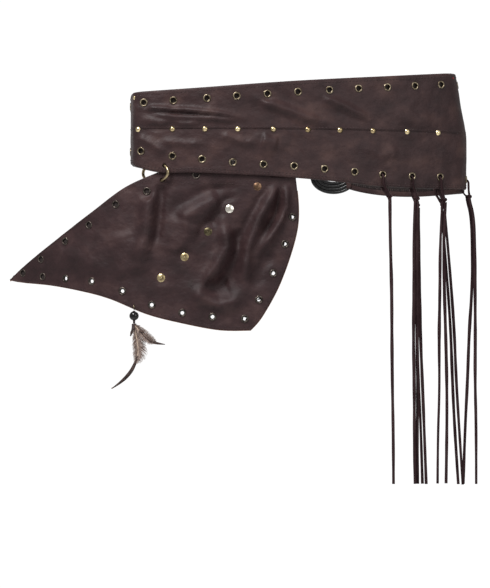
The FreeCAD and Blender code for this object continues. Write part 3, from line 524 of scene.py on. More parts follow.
def slab(name, grid, thick, material, body, holes=(), keep=None):
    """Sheet of that thickness whose outer face is the grid, with holes and closed edges."""
    rows, columns, _ = grid.shape
    normals = grid_normals(grid)
    if keep is None:
        keep = np.ones((rows - 1, columns - 1), bool)
    open_holes(grid, keep, holes)
    inner = grid - normals * thick
    points = np.concatenate([grid.reshape(-1, 3), inner.reshape(-1, 3)])
    count = rows * columns
    faces = []
    borders = {}
    for r in range(rows - 1):
        for c in range(columns - 1):
            if not keep[r, c]:
                continue
            a = r * columns + c
            loop = (a, a + 1, a + columns + 1, a + columns)
            faces.append(loop)
            faces.append(tuple(i + count for i in reversed(loop)))
            for i, j in zip(loop, loop[1:] + loop[:1]):
                if (j, i) in borders:
                    del borders[(j, i)]
                else:
                    borders[(i, j)] = True
    faces += [(j, i, i + count, j + count) for i, j in borders]
    used = sorted({i for face in faces for i in face})
    renumber = {old: new for new, old in enumerate(used)}
    faces = [tuple(renumber[i] for i in face) for face in faces]
    return make_object(name, points[used], faces, material, body)


def sweep(name, path, half_sizes, material, body, turn=None, sides=8, closed=False):
    """Tube along millimetre points, with an oval section; turn gives its twist at each point.

    half_sizes is the section's two half sizes, or gives them at a share of the length."""
    path = [Vector(p) for p in path]
    count = len(path)
    points = []
    side = None
    for i, p in enumerate(path):
        ahead = path[(i + 1) % count] if closed or i + 1 < count else p
        behind = path[i - 1] if closed or i else p
        forward = (ahead - behind).normalized()
        if side is None:
            side = forward.orthogonal().normalized()
        side = (side - forward * side.dot(forward)).normalized()
        other = forward.cross(side)
        share = i / max(count - 1, 1)
        angle = turn(share) if turn else 0.0
        wide = side * math.cos(angle) + other * math.sin(angle)
        thin = forward.cross(wide)
        half_wide, half_thin = half_sizes(share) if callable(half_sizes) else half_sizes
        for k in range(sides):
            a = 2 * math.pi * k / sides
            points.append(p + wide * (half_wide * math.cos(a)) + thin * (half_thin * math.sin(a)))
    return make_object(name, points, tube_faces(0, count, sides, closed), material, body)


def nurbs_points(points):
    """Points along the smooth line that a cord's route makes, in millimetres."""
    data = bpy.data.curves.new("route", "CURVE")
    data.dimensions = "3D"
    data.resolution_u = 12
    spline = data.splines.new("NURBS")
    spline.points.add(len(points) - 1)
    for target, source in zip(spline.points, points):
        target.co = (source[0] * MM, source[1] * MM, source[2] * MM, 1.0)
    spline.order_u = 3
    spline.use_endpoint_u = True
    obj = new_object("route", data)
    mesh = bpy.data.meshes.new_from_object(obj)
    line = [v.co / MM for v in mesh.vertices]
    bpy.data.objects.remove(obj)
    bpy.data.meshes.remove(mesh)
    bpy.data.curves.remove(data)
    return line


def evenly(points, step):
    """The same line with points at an even step."""
    points = np.array([tuple(p) for p in points])
    lengths = np.r_[0.0, np.cumsum(np.linalg.norm(np.diff(points, axis=0), axis=1))]
    count = max(int(round(lengths[-1] / step)), 2)
    wanted = np.linspace(0.0, lengths[-1], count + 1)
    return np.stack([np.interp(wanted, lengths, points[:, k]) for k in range(3)], axis=1)


def clusters(node, apart=10.0):
    """Middles of the separate fittings in one CAD node, in millimetres."""
    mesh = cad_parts[node].data
    flat = np.empty(len(mesh.vertices) * 3, np.float32)
    mesh.vertices.foreach_get("co", flat)
    rest = flat.reshape(-1, 3).astype(float) / MM
    middles = []
    while len(rest):
        near = np.linalg.norm(rest - rest[0], axis=1) < apart
        group = rest[near]
        middles.append((group.min(0) + group.max(0)) / 2)
        rest = rest[~near]
    return middles


# ---- materials ----
def feed(tree, node, inputs):
    """Gives a node's inputs their values, or links them to other nodes' outputs."""
    for name, value in inputs.items():
        if isinstance(value, bpy.types.NodeSocket):
            tree.links.new(value, node.inputs[name])
        else:
            node.inputs[name].default_value = value


def add_node(tree, kind, inputs):
    node = tree.nodes.new("ShaderNode" + kind)
    feed(tree, node, inputs)
    return node


def new_material(name):
    material = bpy.data.materials.new(name)
    material.use_nodes = True
    tree = material.node_tree
    return material, tree, tree.nodes["Principled BSDF"]


def linear(colour):
    """Colour that a screen shows as these 0-255 values."""
    channels = [c / 255.0 for c in colour]
    return tuple(c / 12.92 if c <= 0.04045 else ((c + 0.055) / 1.055) ** 2.4 for c in channels) + (1.0,)


def noise_node(tree, place, scale, detail):
    return add_node(tree, "TexNoise", {"Vector": place, "Scale": scale, "Detail": detail}).outputs["Fac"]


def ramp_node(tree, factor, stops):
    node = add_node(tree, "ValToRGB", {"Fac": factor})
    ramp = node.color_ramp
    ramp.elements[0].position, ramp.elements[0].color = stops[0]
    ramp.elements[1].position, ramp.elements[1].color = stops[-1]
    for position, colour in stops[1:-1]:
        ramp.elements.new(position).color = colour
    return node.outputs["Color"]


def bump_node(tree, height, strength, distance, before=None):
    node = add_node(tree, "Bump", {"Height": height, "Strength": strength, "Distance": distance})
    if before is not None:
        feed(tree, node, {"Normal": before})
    return node.outputs["Normal"]


def object_place(tree, stretch=(1.0, 1.0, 1.0)):
    place = tree.nodes.new("ShaderNodeTexCoord").outputs["Object"]
    return add_node(tree, "Mapping", {"Vector": place, "Scale": stretch}).outputs["Vector"]


def leather_material(name, dark, middle, light, roughness):
    """Soft worn leather: uneven colour in patches, a fine grain and shallow creases."""
    material, tree, shader = new_material(name)
    place = object_place(tree, (1.0, 1.0, 1.25))
    patches = noise_node(tree, place, 38.0, 6.0)
    stains = noise_node(tree, place, 170.0, 6.0)
    mixed = tree.nodes.new("ShaderNodeMath")
    mixed.operation = "MULTIPLY_ADD"
    feed(tree, mixed, {0: stains, 1: 0.22, 2: patches})
    stops = [(0.36, linear(dark)), (0.62, linear(middle)), (0.9, linear(light))]
    rumpled = noise_node(tree, place, 62.0, 3.0)
    creased = noise_node(tree, place, 160.0, 4.0)
    grain = add_node(tree, "TexVoronoi", {"Vector": place, "Scale": 1100.0}).outputs["Distance"]
    normal = bump_node(tree, rumpled, 0.4, 0.0045)
    normal = bump_node(tree, creased, 0.2, 0.0016, normal)
    normal = bump_node(tree, grain, 0.12, 0.0004, normal)
    feed(tree, shader, {"Base Color": ramp_node(tree, mixed.outputs[0], stops), "Normal": normal,
                        "Roughness": roughness, "Specular IOR Level": 0.19})
    return material


def cloth_material(name, colour):
    """Woven cloth, with painted shade between its threads: its colour is darker where the weave's bump is
    low.
    """
    material, tree, shader = new_material(name)
    place = object_place(tree)
    weave = add_node(tree, "TexWave", {"Vector": place, "Scale": 420.0, "Distortion": 1.5}).outputs["Fac"]
    light = linear(colour)
    # painted shade: the low places of the weave, between the threads, get a darker copy of the cloth's
    # colour
    dark = tuple(c * 0.7 for c in light[:3]) + (1.0,)
    feed(tree, shader, {"Base Color": ramp_node(tree, weave, [(0.2, dark), (0.8, light)]),
                        "Normal": bump_node(tree, weave, 0.3, 0.0004),
                        "Roughness": 0.9, "Specular IOR Level": 0.15})
    return material


def metal_material(name, bright, tarnish, roughness, worn=0.55, scale=420.0):
    """Metal with darker tarnish in patches."""
    material, tree, shader = new_material(name)
    patches = noise_node(tree, object_place(tree), scale, 3.0)
    stops = [(worn - 0.2, linear(tarnish)), (worn + 0.12, linear(bright))]
    feed(tree, shader, {"Base Color": ramp_node(tree, patches, stops), "Metallic": 1.0,
                        "Roughness": roughness, "Normal": bump_node(tree, patches, 0.1, 0.0003)})
    return material


def fibre_material(name, dark, light, scale, roughness, specular=0.2, bump=0.35):
    """Suede, thread, cord or feather: fine uneven streaks."""
    material, tree, shader = new_material(name)
    streaks = noise_node(tree, object_place(tree, (1.0, 1.0, 0.35)), scale, 4.0)
    stops = [(0.35, linear(dark)), (0.65, linear(light))]
    feed(tree, shader, {"Base Color": ramp_node(tree, streaks, stops),
                        "Normal": bump_node(tree, streaks, bump, 0.0005),
                        "Roughness": roughness, "Specular IOR Level": specular})
    return material


BELT_LEATHER = leather_material("belt_leather", (31, 19, 20), (43, 28, 28), (62, 44, 41), 0.54)
FLAP_LEATHER = leather_material("flap_leather", (29, 17, 18), (40, 25, 26), (57, 40, 39), 0.6)
LINING_CLOTH = cloth_material("lining_cloth", (46, 40, 39))
RAW_EDGE = fibre_material("raw_edge", (96, 66, 52), (138, 104, 84), 300.0, 0.9)
THREAD = fibre_material("thread", (38, 27, 28), (64, 51, 50), 900.0, 0.7)
SUEDE = fibre_material("lace_suede", (34, 22, 24), (48, 35, 36), 150.0, 0.9, 0.05, 0.05)
BLACK_CORD = fibre_material("black_cord", (12, 12, 12), (30, 29, 30), 500.0, 0.34, 0.3)
ANTIQUE = metal_material("antique_brass", (150, 138, 116), (70, 60, 48), 0.36)
DARK_EYELET = metal_material("dark_eyelet", (92, 84, 78), (44, 38, 36), 0.4)
BRIGHT = metal_material("bright_brass", (226, 208, 164), (126, 106, 72), 0.25, 0.5, 55.0)
SILVER = metal_material("silvered_brass", (236, 232, 222), (190, 184, 172), 0.25)
BRONZE = metal_material("bronze", (122, 96, 76), (74, 56, 44), 0.38)
OLIVE = metal_material("olive_brass", (98, 90, 68), (54, 48, 36), 0.4)
DULL_BRASS = metal_material("dull_brass", (176, 160, 124), (112, 96, 68), 0.32)
RING_METAL = metal_material("ring_metal", (176, 160, 128), (120, 104, 78), 0.3)
BEAD = fibre_material("bead_glass", (5, 5, 6), (9, 9, 10), 200.0, 0.06, 0.35)
DOWN = fibre_material("feather_down", (86, 70, 64), (140, 124, 116), 500.0, 0.9)
FEATHER_DARK = fibre_material("feather_dark", (26, 18, 18), (60, 46, 42), 500.0, 0.7)
QUILL = fibre_material("feather_quill", (150, 130, 112), (190, 172, 152), 400.0, 0.6)
RED_THREAD = fibre_material("red_thread", (120, 20, 26), (170, 36, 40), 900.0, 0.7)


# ---- the leather of the belt ----
def fitting_marks():
    """Eyelets, studs and rivets on the belt: their middles, in one array."""
    nodes = ("top_row_eyelets", "low_row_eyelets", "closure_eyelets", "stud_caps", "corner_rivet")
    return np.array([middle for node in nodes for middle in clusters(node)])


def eyelet_holes(nodes, radius):
    """Holes (centre, axis, radius) under the eyelets of those CAD nodes."""
    holes = []
    for node in nodes:
        for x, y, z in clusters(node):
            _, normal = wall(place_on_plan(x, y), 0.0)
            holes.append(((x, y, z), normal, radius))
    return holes


def clear_of(grid, marks, inner, outer):
    """0 near any mark, 1 away from all of them."""
    clear = np.ones(grid.shape[:2])
    for mark in marks:
        distance = np.linalg.norm(grid - mark, axis=2)
        clear = np.minimum(clear, smooth(distance, inner, outer))
    return clear


def wall_grid(s0, s1, low, high, fold_low, fold_high, depth=0.0, step=GRID):
    """Grid over a panel from s0 to s1: rows from low to high, their turned edges included."""
    columns = max(int((s1 - s0) / step), 8)
    rows = int((PANEL_ROWS if fold_low and fold_high else SHORT_ROWS) * GRID / step)
    bend = [math.pi * k / BEND_STEPS for k in range(1, BEND_STEPS)]
    hem = [HEM * k / HEM_ROWS for k in range(HEM_ROWS + 1)]
    half = WALL / 2
    grid = []
    for s in np.linspace(s0, s1, columns + 1):
        bottom = edge_at(s, low) if callable(low) else low
        top = edge_at(s, high) if callable(high) else high
        profile = []
        if fold_low:
            bottom += half
            profile += [(bottom + height, WALL) for height in reversed(hem)]
            profile += [(bottom - half * math.sin(a), half + half * math.cos(a)) for a in bend]
        if fold_high:
            top -= half
        profile += [(bottom + (top - bottom) * k / rows, depth) for k in range(rows + 1)]
        if fold_high:
            profile += [(top + half * math.sin(a), half - half * math.cos(a)) for a in bend]
            profile += [(top - height, WALL) for height in hem]
        grid.append([wall(s, z, d)[0] for z, d in profile])
    return np.array(grid).transpose(1, 0, 2).copy()


def outward(grid, amount):
    """The grid with each point moved outwards, square to the wall, by that amount."""
    return grid + grid_normals(grid) * amount[..., None]


def front_relief(grid, marks, lapped):
    """Height of the front's wrinkles: none at its edges, in its hems or under the fittings."""
    x, z = grid[..., 0], grid[..., 2]
    outer = smooth(-(grid_normals(grid) @ np.array([0.0, 1.0, 0.0])), -0.2, 0.3)
    low = np.vectorize(front_low)(x)
    top = np.vectorize(top_height)(x)
    inside_edges = smooth(z - SEAM_Z if lapped else SEAM_Z - z, 0.5, 6.0)
    inside_edges = inside_edges * smooth(z - low, 2.5, 10.0) * smooth(top - z, 2.5, 10.0)
    relief = folds(x, z, FRONT_CREASES, *FRONT_GAINS) + ripples(x, z, FRONT_RIPPLES)
    relief = np.clip(relief, *FRONT_RANGE) * clear_of(grid, marks, *FITTING_CLEAR) * inside_edges * outer
    if lapped:
        relief = relief + LAP * (1.0 - smooth(z - SEAM_Z, 0.0, 8.0)) * outer
    return relief


def plain_relief(grid, marks):
    """Gentle ripples on the outer face of a back panel, none under the fittings."""
    x, z = grid[..., 0] + grid[..., 1], grid[..., 2]
    centre = grid.mean(axis=(0, 1))
    outer = np.where(np.einsum("ijk,k->ij", grid_normals(grid), centre * (1, 1, 0)) > 0, 1.0, 0.0)
    return ripples(x, z, BACK_RIPPLES) * clear_of(grid, marks, *FITTING_CLEAR) * outer


def build_belt():
    marks = fitting_marks()
    holes = eyelet_holes(("top_row_eyelets", "low_row_eyelets"), HOLE)
    closure = eyelet_holes(("closure_eyelets",), HOLE)
    ring_x, ring_z = BELT_RING_HOLE
    holes.append((*wall_where(0, ring_x, -1, ring_z), CORD_HOLE))

    upper = wall_grid(S_LEFT, S_RIGHT, SEAM_Z, top_height, False, True)
    upper = outward(upper, front_relief(upper, marks, True))
    lower = wall_grid(S_LEFT, S_RIGHT, front_low, SEAM_Z + 3.0, True, False)
    lower = outward(lower, front_relief(lower, marks, False) - LAP * smooth(lower[..., 2], -1.0, 1.0))
    front_upper = slab("front_upper_leather", upper, LEATHER_THICK, BELT_LEATHER, "belt", holes)
    front_lower = slab("front_lower_leather", lower, LEATHER_THICK, BELT_LEATHER, "belt", holes)
    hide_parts("front_upper_shell", "front_interlining")
    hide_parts("front_lower_shell")

    for name, start, end, low in (("back_right", S_RIGHT, S_CLOSE_RIGHT, back_right_low),
                                  ("back_left", S_CLOSE_LEFT, S_LEFT + PERIMETER, back_left_low)):
        grid = wall_grid(start, end, low, top_height, True, True)
        grid = outward(grid, plain_relief(grid, marks))
        panel = slab(name + "_leather", grid, LEATHER_THICK, BELT_LEATHER, "belt", holes + closure)
        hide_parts(name + "_shell", name + "_interlining")
    punched = [hole for hole in holes
               if hole[0][0] > CLOSED_LEFT_OF or hole[0][1] > 0 or hole[0][2] < 0]
    build_linings(punched + closure)
    build_bindings()


def lining_bottom(low):
    return lambda x: low(x) + HEM - LINING_TUCK


def lining_top(x):
    return top_height(x) - HEM + LINING_TUCK


def build_linings(holes):
    """Inner face of the belt, between the turned edges of the leather."""
    panels = [("front", S_LEFT, S_RIGHT, front_low, (0.43, 0.09)),
              ("back_right", S_RIGHT, S_CLOSE_RIGHT, back_right_low, (0.17, 0.11)),
              ("back_left", S_CLOSE_LEFT, S_LEFT + PERIMETER, back_left_low, (0.30, 0.08))]
    for name, start, end, low, flat in panels:
        grid = wall_grid(start, end, lining_bottom(low), lining_top, False, False,
                         depth=WALL - LINING_THICK, step=LINING_GRID)
        piece = slab(name + "_lining_cloth", grid, LINING_THICK, LINING_CLOTH, "belt", holes)
        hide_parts(name + "_lining")


def build_bindings():
    """Folded leather binding over the boned edges of the back closure."""
    half = WALL / 2 + BINDING_PROUD
    bend = [math.pi * k / BEND_STEPS for k in range(1, BEND_STEPS)]
    section = [(shift, -BINDING_PROUD) for shift in BINDING_ROWS]
    section += [(-BINDING_BULGE * math.sin(a), half - half * math.cos(a) - BINDING_PROUD) for a in bend]
    section += [(shift, WALL + BINDING_PROUD) for shift in reversed(BINDING_ROWS)]
    for side, s, inward, low in (("left", S_CLOSE_LEFT, 1, back_left_low),
                                 ("right", S_CLOSE_RIGHT, -1, back_right_low)):
        heights = np.linspace(edge_at(s, low), edge_at(s, top_height), BINDING_STEPS)
        grid = np.array([[wall(s + inward * shift, z, depth)[0] for shift, depth in section]
                         for z in heights])
        if inward > 0:
            grid = grid[:, ::-1].copy()
        piece = slab("closure_binding_" + side, grid, BINDING_THICK, BELT_LEATHER, "belt")
        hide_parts("closure_bone_" + side)


def stitches(name, points, normals, body, half=0.26):
    """Row of thread stitches along millimetre points on a surface."""
    line = evenly(points, STITCH_LENGTH + STITCH_GAP)
    source = np.array(points)
    stitch_points = []
    faces = []
    for a, b in zip(line, line[1:]):
        run = (b - a) * (STITCH_LENGTH / (STITCH_LENGTH + STITCH_GAP))
        n = np.array(normals[int(np.argmin(np.linalg.norm(source - a, axis=1)))])
        side = np.cross(run / max(np.linalg.norm(run), 1e-9), n)
        faces += tube_faces(len(stitch_points), len(STITCH_SECTIONS), 4)
        for share, lift, size in STITCH_SECTIONS:
            middle = a + run * share + n * lift
            for u, v in ((1, 0), (0, 1), (-1, 0), (0, -1)):
                stitch_points.append(middle + (side * u + n * v) * half * size)
    piece = make_object(name, stitch_points, faces, THREAD, body)


def wall_stitches(name, start, end, height, depth):
    """Row of stitches round the wall from start to end, at the height given for each place."""
    places = [wall(s, height(s), depth) for s in np.arange(start, end, STITCH_STEP)]
    stitches(name, [point for point, _ in places], [normal for _, normal in places], "belt")


def build_stitching():
    rows = [("top_stitch", 0.0, S_CLOSE_RIGHT, top_height, -3.6),
            ("top_stitch_left", S_CLOSE_LEFT, PERIMETER, top_height, -3.6),
            ("front_low_stitch", S_LEFT, S_RIGHT, front_low, 4.4),
            ("front_low_stitch_2", S_LEFT, S_RIGHT, front_low, 2.2),
            ("back_right_stitch", S_RIGHT, S_CLOSE_RIGHT, back_right_low, 4.2),
            ("back_left_stitch", S_CLOSE_LEFT, S_LEFT + PERIMETER, back_left_low, 4.2)]
    for name, start, end, edge, shift in rows:
        wall_stitches(name, start, end, lambda s: edge_at(s, edge) + shift, -0.05)
    wall_stitches("seam_stitch", S_LEFT, S_RIGHT, lambda s: SEAM_Z + SEAM_STITCH, -LAP * 0.95)
    mark_x, mark_z = RED_MARK
    (x, y, z), _ = wall_where(0, mark_x, -1, mark_z)
    red = sweep("red_thread_mark", [(x - 1.2, y, z), (x, y - 0.3, z + 0.3), (x + 1.0, y, z - 0.4)],
                (0.35, 0.35), RED_THREAD, "belt")


# ---- the hip flap ----
def flap_face(x, inset):
    """Plan of the flap at x: y, and the outward normal, for a face at that inset."""
    cx = FRONT_VERTEX[0]
    cy = FRONT_VERTEX[1] + FRONT_RADIUS
    radius = FRONT_RADIUS - inset
    if x >= FLAP_WING_X:
        y = cy - math.sqrt(radius ** 2 - (x - cx) ** 2)
        nx, ny = x - cx, y - cy
    else:
        base = FRONT_RADIUS - FLAP_INSET
        start_y = cy - math.sqrt(base ** 2 - (FLAP_WING_X - cx) ** 2)
        length = math.hypot(cx - FLAP_WING_X, cy - start_y)
        wx = FLAP_WING_X + (cx - FLAP_WING_X) / length * FLAP_WING_RADIUS
        wy = start_y + (cy - start_y) / length * FLAP_WING_RADIUS
        wing = FLAP_WING_RADIUS - (inset - FLAP_INSET)
        turn_x = wx - wing * math.sin(FLAP_WING_ANGLE)
        turn_y = wy - wing * math.cos(FLAP_WING_ANGLE)
        if x >= turn_x:
            y = wy - math.sqrt(wing ** 2 - (x - wx) ** 2)
            nx, ny = x - wx, y - wy
        else:
            y = turn_y + (turn_x - x) * math.tan(FLAP_WING_ANGLE)
            nx, ny = -math.sin(FLAP_WING_ANGLE), -math.cos(FLAP_WING_ANGLE)
    size = math.hypot(nx, ny)
    return y, (nx / size, ny / size, 0.0)


def by_count(line, count):
    """That many (x, z) points, evenly along a line."""
    share = np.linspace(0, len(line) - 1, count)
    return np.stack([np.interp(share, np.arange(len(line)), line[:, k]) for k in (0, 2)], axis=1)


def rounded_line(points, count):
    """Even points along a smooth curve through (x, z) points."""
    fine = []
    padded = [points[0]] + list(points) + [points[-1]]
    for p0, p1, p2, p3 in zip(padded, padded[1:], padded[2:], padded[3:]):
        for k in range(12):
            t = k / 12
            fine.append(tuple(0.5 * (2 * b + (c - a) * t + (2 * a - 5 * b + 4 * c - d) * t * t
                                     + (3 * b - a - 3 * c + d) * t ** 3)
                              for a, b, c, d in zip(p0, p1, p2, p3)))
    fine.append(points[-1])
    return by_count(evenly([(x, 0.0, z) for x, z in fine], OUTLINE_STEP), count)


def flap_patch():
    """(x, z) of the flap's grid: rows from its lower edge to its top, columns from tip to right."""
    upper = rounded_line(FLAP_UPPER, 400)
    straight = np.linspace(FLAP_UPPER[-1], FLAP_TOP_RIGHT, 280)[1:]
    whole = np.concatenate([upper, straight])
    top = by_count(evenly([(x, 0.0, z) for x, z in whole], OUTLINE_STEP), FLAP_COLUMNS)
    bottom = rounded_line(FLAP_LOWER, FLAP_COLUMNS)
    right = rounded_line(FLAP_RIGHT, FLAP_ROWS)[::-1]
    u = np.linspace(0, 1, FLAP_COLUMNS)[None, :, None]
    v = np.linspace(0, 1, FLAP_ROWS)[:, None, None]
    patch = (1 - v) * bottom[None] + v * top[None]
    return patch + u * (right[:, None] - ((1 - v) * right[0] + v * right[-1]))


def flap_surface(patch, inset):
    flat = [flap_face(x, inset) for x in patch[..., 0].ravel()]
    y = np.array([f[0] for f in flat]).reshape(patch.shape[:2])
    normals = np.array([f[1] for f in flat]).reshape(patch.shape[:2] + (3,))
    return np.stack([patch[..., 0], y, patch[..., 1]], axis=2), normals


def flap_relief(grid, marks):
    """Height of the flap's folds: none behind the belt, at the edges or under the fittings."""
    x, z = grid[..., 0], grid[..., 2]
    rows, columns = x.shape
    below = smooth(-z, 47.5, 60.0)
    edge = np.minimum(np.arange(rows), np.arange(rows)[::-1])[:, None] / 14.0
    side = np.arange(columns)[::-1][None, :] / 12.0
    fade = smooth(edge, 0.0, 1.0) * (0.25 + 0.75 * smooth(side, 0.0, 1.0)) * below
    relief = folds(x, z, FLAP_FOLDS, *FLAP_GAINS) + ripples(x, z, FLAP_RIPPLES)
    soft_edge = ripples(x, z, FLAP_EDGE_RIPPLES) * smooth(-z, 60.0, 90.0)
    return (relief * fade + soft_edge) * clear_of(grid, marks, *FLAP_CLEAR)


def build_flap():
    marks = np.array(clusters("flap_eyelets") + clusters("flap_rivet_caps"))
    grid, normals = flap_surface(flap_patch(), FLAP_INSET)
    holes = [((x, y, z), flap_face(x, FLAP_INSET)[1], HOLE) for x, y, z in clusters("flap_eyelets")]
    ring_x, ring_z = FLAP_RING_HOLE
    y, normal = flap_face(ring_x, FLAP_INSET)
    holes.append(((ring_x, y, ring_z), normal, CORD_HOLE))
    lining_holes = [(place, axis, FLAP_LINING_HOLE) for place, axis, _ in holes
                    if min(math.dist((place[0], place[2]), c) for c in CLOSED_EYELETS) > CLOSED_WITHIN]
    moved = grid + normals * flap_relief(grid, marks)[..., None]
    middle = (grid[:-1, :-1] + grid[1:, 1:]) / 2
    notch = (np.abs(middle[..., 0] - STRAP_X) < STRAP_WIDTH / 2 + 1) & (middle[..., 2] > NOTCH_Z)
    skin = slab("flap_leather", moved.copy(), LEATHER_THICK, FLAP_LEATHER, "flap", holes, ~notch)
    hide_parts("flap_skin")
    moved_normals = grid_normals(moved)
    inner = moved - moved_normals * (LEATHER_THICK + FLAP_LINING_GAP)
    backing = slab("flap_lining_cloth", inner, FLAP_LINING_THICK, LINING_CLOTH, "flap",
                   lining_holes, ~notch)
    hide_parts("flap_lining")
    rim = [(0, c) for c in range(FLAP_COLUMNS)]
    rim += [(r, -1) for r in range(1, FLAP_ROWS - FLAP_HIDDEN_ROWS)]
    raw = sweep("flap_raw_edge", [moved[place] - moved_normals[place] * RAW_EDGE_DEPTH for place in rim],
                (0.75, 0.55), RAW_EDGE, "flap", sides=6)
    build_flap_stitching(moved, moved_normals)


def build_flap_stitching(surface, normals):
    rows = [("flap_low_stitch", [(3, c) for c in range(6, FLAP_COLUMNS - 3)]),
            ("flap_side_stitch", [(r, FLAP_COLUMNS - 4) for r in range(4, FLAP_ROWS - 16)]),
            ("flap_upper_stitch", [(FLAP_ROWS - 4, c) for c in range(8, 122)])]
    for name, height in (("flap_hem_stitch", -49.2), ("flap_hem_stitch_2", -53.6)):
        places = []
        for c in range(130, FLAP_COLUMNS - 6, 2):
            lean = (surface[-1, c, 2] + 42.0) * 0.4 - (surface[:, c, 0].mean() + 100.0) * 0.04
            places.append((int(np.argmin(np.abs(surface[:, c, 2] - height - lean))), c))
        rows.append((name, places))
    for name, places in rows:
        stitches(name, [surface[place] for place in places], [normals[place] for place in places],
                 "flap", half=FLAP_STITCH)


def build_strap():
    """Leather strap sewn inside the belt that carries the flap's right end."""
    line = evenly([(0.0, inset, z) for z, inset in STRAP_PROFILE], 1.0)[::-1]
    across = np.linspace(STRAP_X - STRAP_WIDTH / 2, STRAP_X + STRAP_WIDTH / 2, STRAP_COLUMNS)
    grid = np.array([[(x, flap_face(x, inset)[0], z) for x in across] for _, inset, z in line])
    strap = slab("hanger_strap_leather", grid, STRAP_THICK, FLAP_LEATHER, None)
    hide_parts("hanger_strap")
    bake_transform(strap)


# ---- laces ----
def ribbon(name, line, width, thick, seed, turns):
    """Flat suede lace along a line: it twists slowly, and its width and edges wander a little."""
    source = random.Random(seed)
    start = source.uniform(-0.5, 0.5)
    phases = [source.uniform(0, 6.28) for _ in range(4)]

    def turn(t):
        uneven = 0.10 * math.sin(7 * t + phases[0]) + 0.05 * math.sin(17 * t + phases[1])
        return start + turns * (t + uneven)

    def half_sizes(t):
        uneven = 1.0 + 0.05 * math.sin(23 * t + phases[2]) + 0.04 * math.sin(51 * t + phases[3])
        return width / 2 * uneven, thick / 2

    piece = sweep(name, line, half_sizes, SUEDE, "belt", turn, sides=10)
    return piece


def tie_route(point, normal, edge, knot):
    """Route of a lace through its eyelet and round the belt's low edge, from knot to knot."""
    p, n, k = Vector(point), Vector(normal), Vector(knot)
    out = n * TIE_REACH
    back = n * -(WALL + TIE_REACH)
    low = Vector((p.x, p.y, edge + 1.5))
    under = (low + k) * 0.5
    under.z = edge - TIE_DROP
    apart = n * TIE_APART
    return [k + apart, under + n * TIE_SPREAD, low + out, p + out, p + back, low + back,
            under - n * (WALL + TIE_SPREAD), k - apart]


def knot_route(centre, size):
    """Closed line of an overhand knot."""
    route = []
    for i in range(KNOT_STEPS):
        t = 2 * math.pi * i / KNOT_STEPS
        x = math.sin(t) + 1.7 * math.sin(2 * t)
        z = math.cos(t) - 1.7 * math.cos(2 * t)
        y = -1.1 * math.sin(3 * t)
        route.append(Vector(centre) + Vector((x, y, z)) * (size * 0.5))
    return route


def build_ties():
    y, z, edge, knot = SIDE_TIE
    ties = [(wall_where(0, x, -1, z), edge, knot) for x, z, edge, knot in FRONT_TIES]
    ties.append((wall_where(1, y, 1, z), edge, knot))
    ties += [(wall_where(0, x, 1, z), edge, knot) for x, z, edge, knot in BACK_TIES]
    for number, ((point, normal), edge, knot) in enumerate(ties, 1):
        line = evenly(nurbs_points(tie_route(point, normal, edge, knot)), TIE_STEP)
        tie = ribbon("lace_tie_%d_loop" % number, line, TIE_WIDTH, TIE_THICK, 40 + number, 0.6)
        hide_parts("lace_tie_%d" % number)
        knotted = sweep("lace_tie_%d_knot" % number, knot_route(knot, KNOT),
                        (1.15, 0.85), SUEDE, "belt", sides=8, closed=True)


def tail_lines():
    """The line of every lace tail, from inside its knot through the same points as in the part."""
    lines = {}
    for name, (_, points) in TAILS.items():
        x, y, z = points[0]
        lines[name] = evenly(nurbs_points([(x, y, z + INSIDE_KNOT)] + points), LACE_STEP)
    return lines


def build_tails(lines):
    for number, (name, line) in enumerate(lines.items()):
        tail = ribbon(name + "_ribbon", line, LACE_WIDTH, LACE_THICK, 70 + number, 1.2 + 0.6 * (number % 4))
        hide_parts(name + "_tail")


# ---- black cord ----
def lacing_route():
    """One cord laced through both columns of closure eyelets, from the top down."""
    columns = [[wall_where(0, x, 1, z) for z in CLOSURE_Z] for x in CLOSURE_X]
    rows = list(range(len(CLOSURE_Z)))[::-1]
    point, normal = (Vector(v) for v in columns[0][rows[0]])
    route = [point - normal * (WALL + LACING_REACH) + Vector((-9.0, 0, 3.0))]
    for k, row in enumerate(rows):
        first, second = (columns[0], columns[1]) if k % 2 == 0 else (columns[1], columns[0])
        leave = (1, -1) if row > 0 else (1,)
        for column, order in ((first, (-1, 1)), (second, leave)):
            p, n = (Vector(v) for v in column[row])
            for sign in order:
                route.append(p + (n * LACING_REACH if sign > 0 else n * -(WALL + LACING_REACH)))
    route.append(route[-1] + Vector((-1.0, 1.5, -LACING_TAIL)))
    return route


def hank_route(start):
    """The cord's surplus: from the lacing's end into a flat oval coil, wound inwards."""
    centre = Vector(HANK_CENTRE)
    route = [start, start + Vector((0.6, 3.6, -4.0)), start + Vector((-0.6, 7.4, -6.0))]
    for i in range(HANK_TURNS * HANK_STEPS + 1):
        turns = i / HANK_STEPS
        angle = -0.5 - 2 * math.pi * turns
        wide = HANK_HALF_WIDE - HANK_PITCH * turns
        tall = HANK_HALF_TALL - HANK_PITCH * turns
        lift = 0.6 * math.sin(5.3 * turns)
        route.append(centre + Vector((wide * math.cos(angle), lift, tall * math.sin(angle))))
    return route


def build_black_cord(lacing_line, hank_line):
    lacing = sweep("back_lacing_cord", lacing_line, (CORD / 2 - LACING_PRESSED,) * 2,
                   BLACK_CORD, "belt", sides=12)
    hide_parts("back_lacing")
    hank = sweep("back_lace_hank_cord", hank_line, (CORD / 2, CORD / 2), BLACK_CORD, "belt", sides=12)
    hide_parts("back_lace_hank")
    start = Vector(HANK_CENTRE) + Vector(WRAP_PLACE)
    half_deep, half_tall = WRAP_HALF
    wrap = []
    for i in range(WRAP_TURNS * WRAP_STEPS + 1):
        a = 2 * math.pi * i / WRAP_STEPS
        wrap.append(start + Vector((i * WRAP_PITCH, half_deep * math.cos(a), half_tall * math.sin(a))))
    tied = sweep("hank_tie", wrap, (0.8, 0.8), BLACK_CORD, "belt", sides=8)


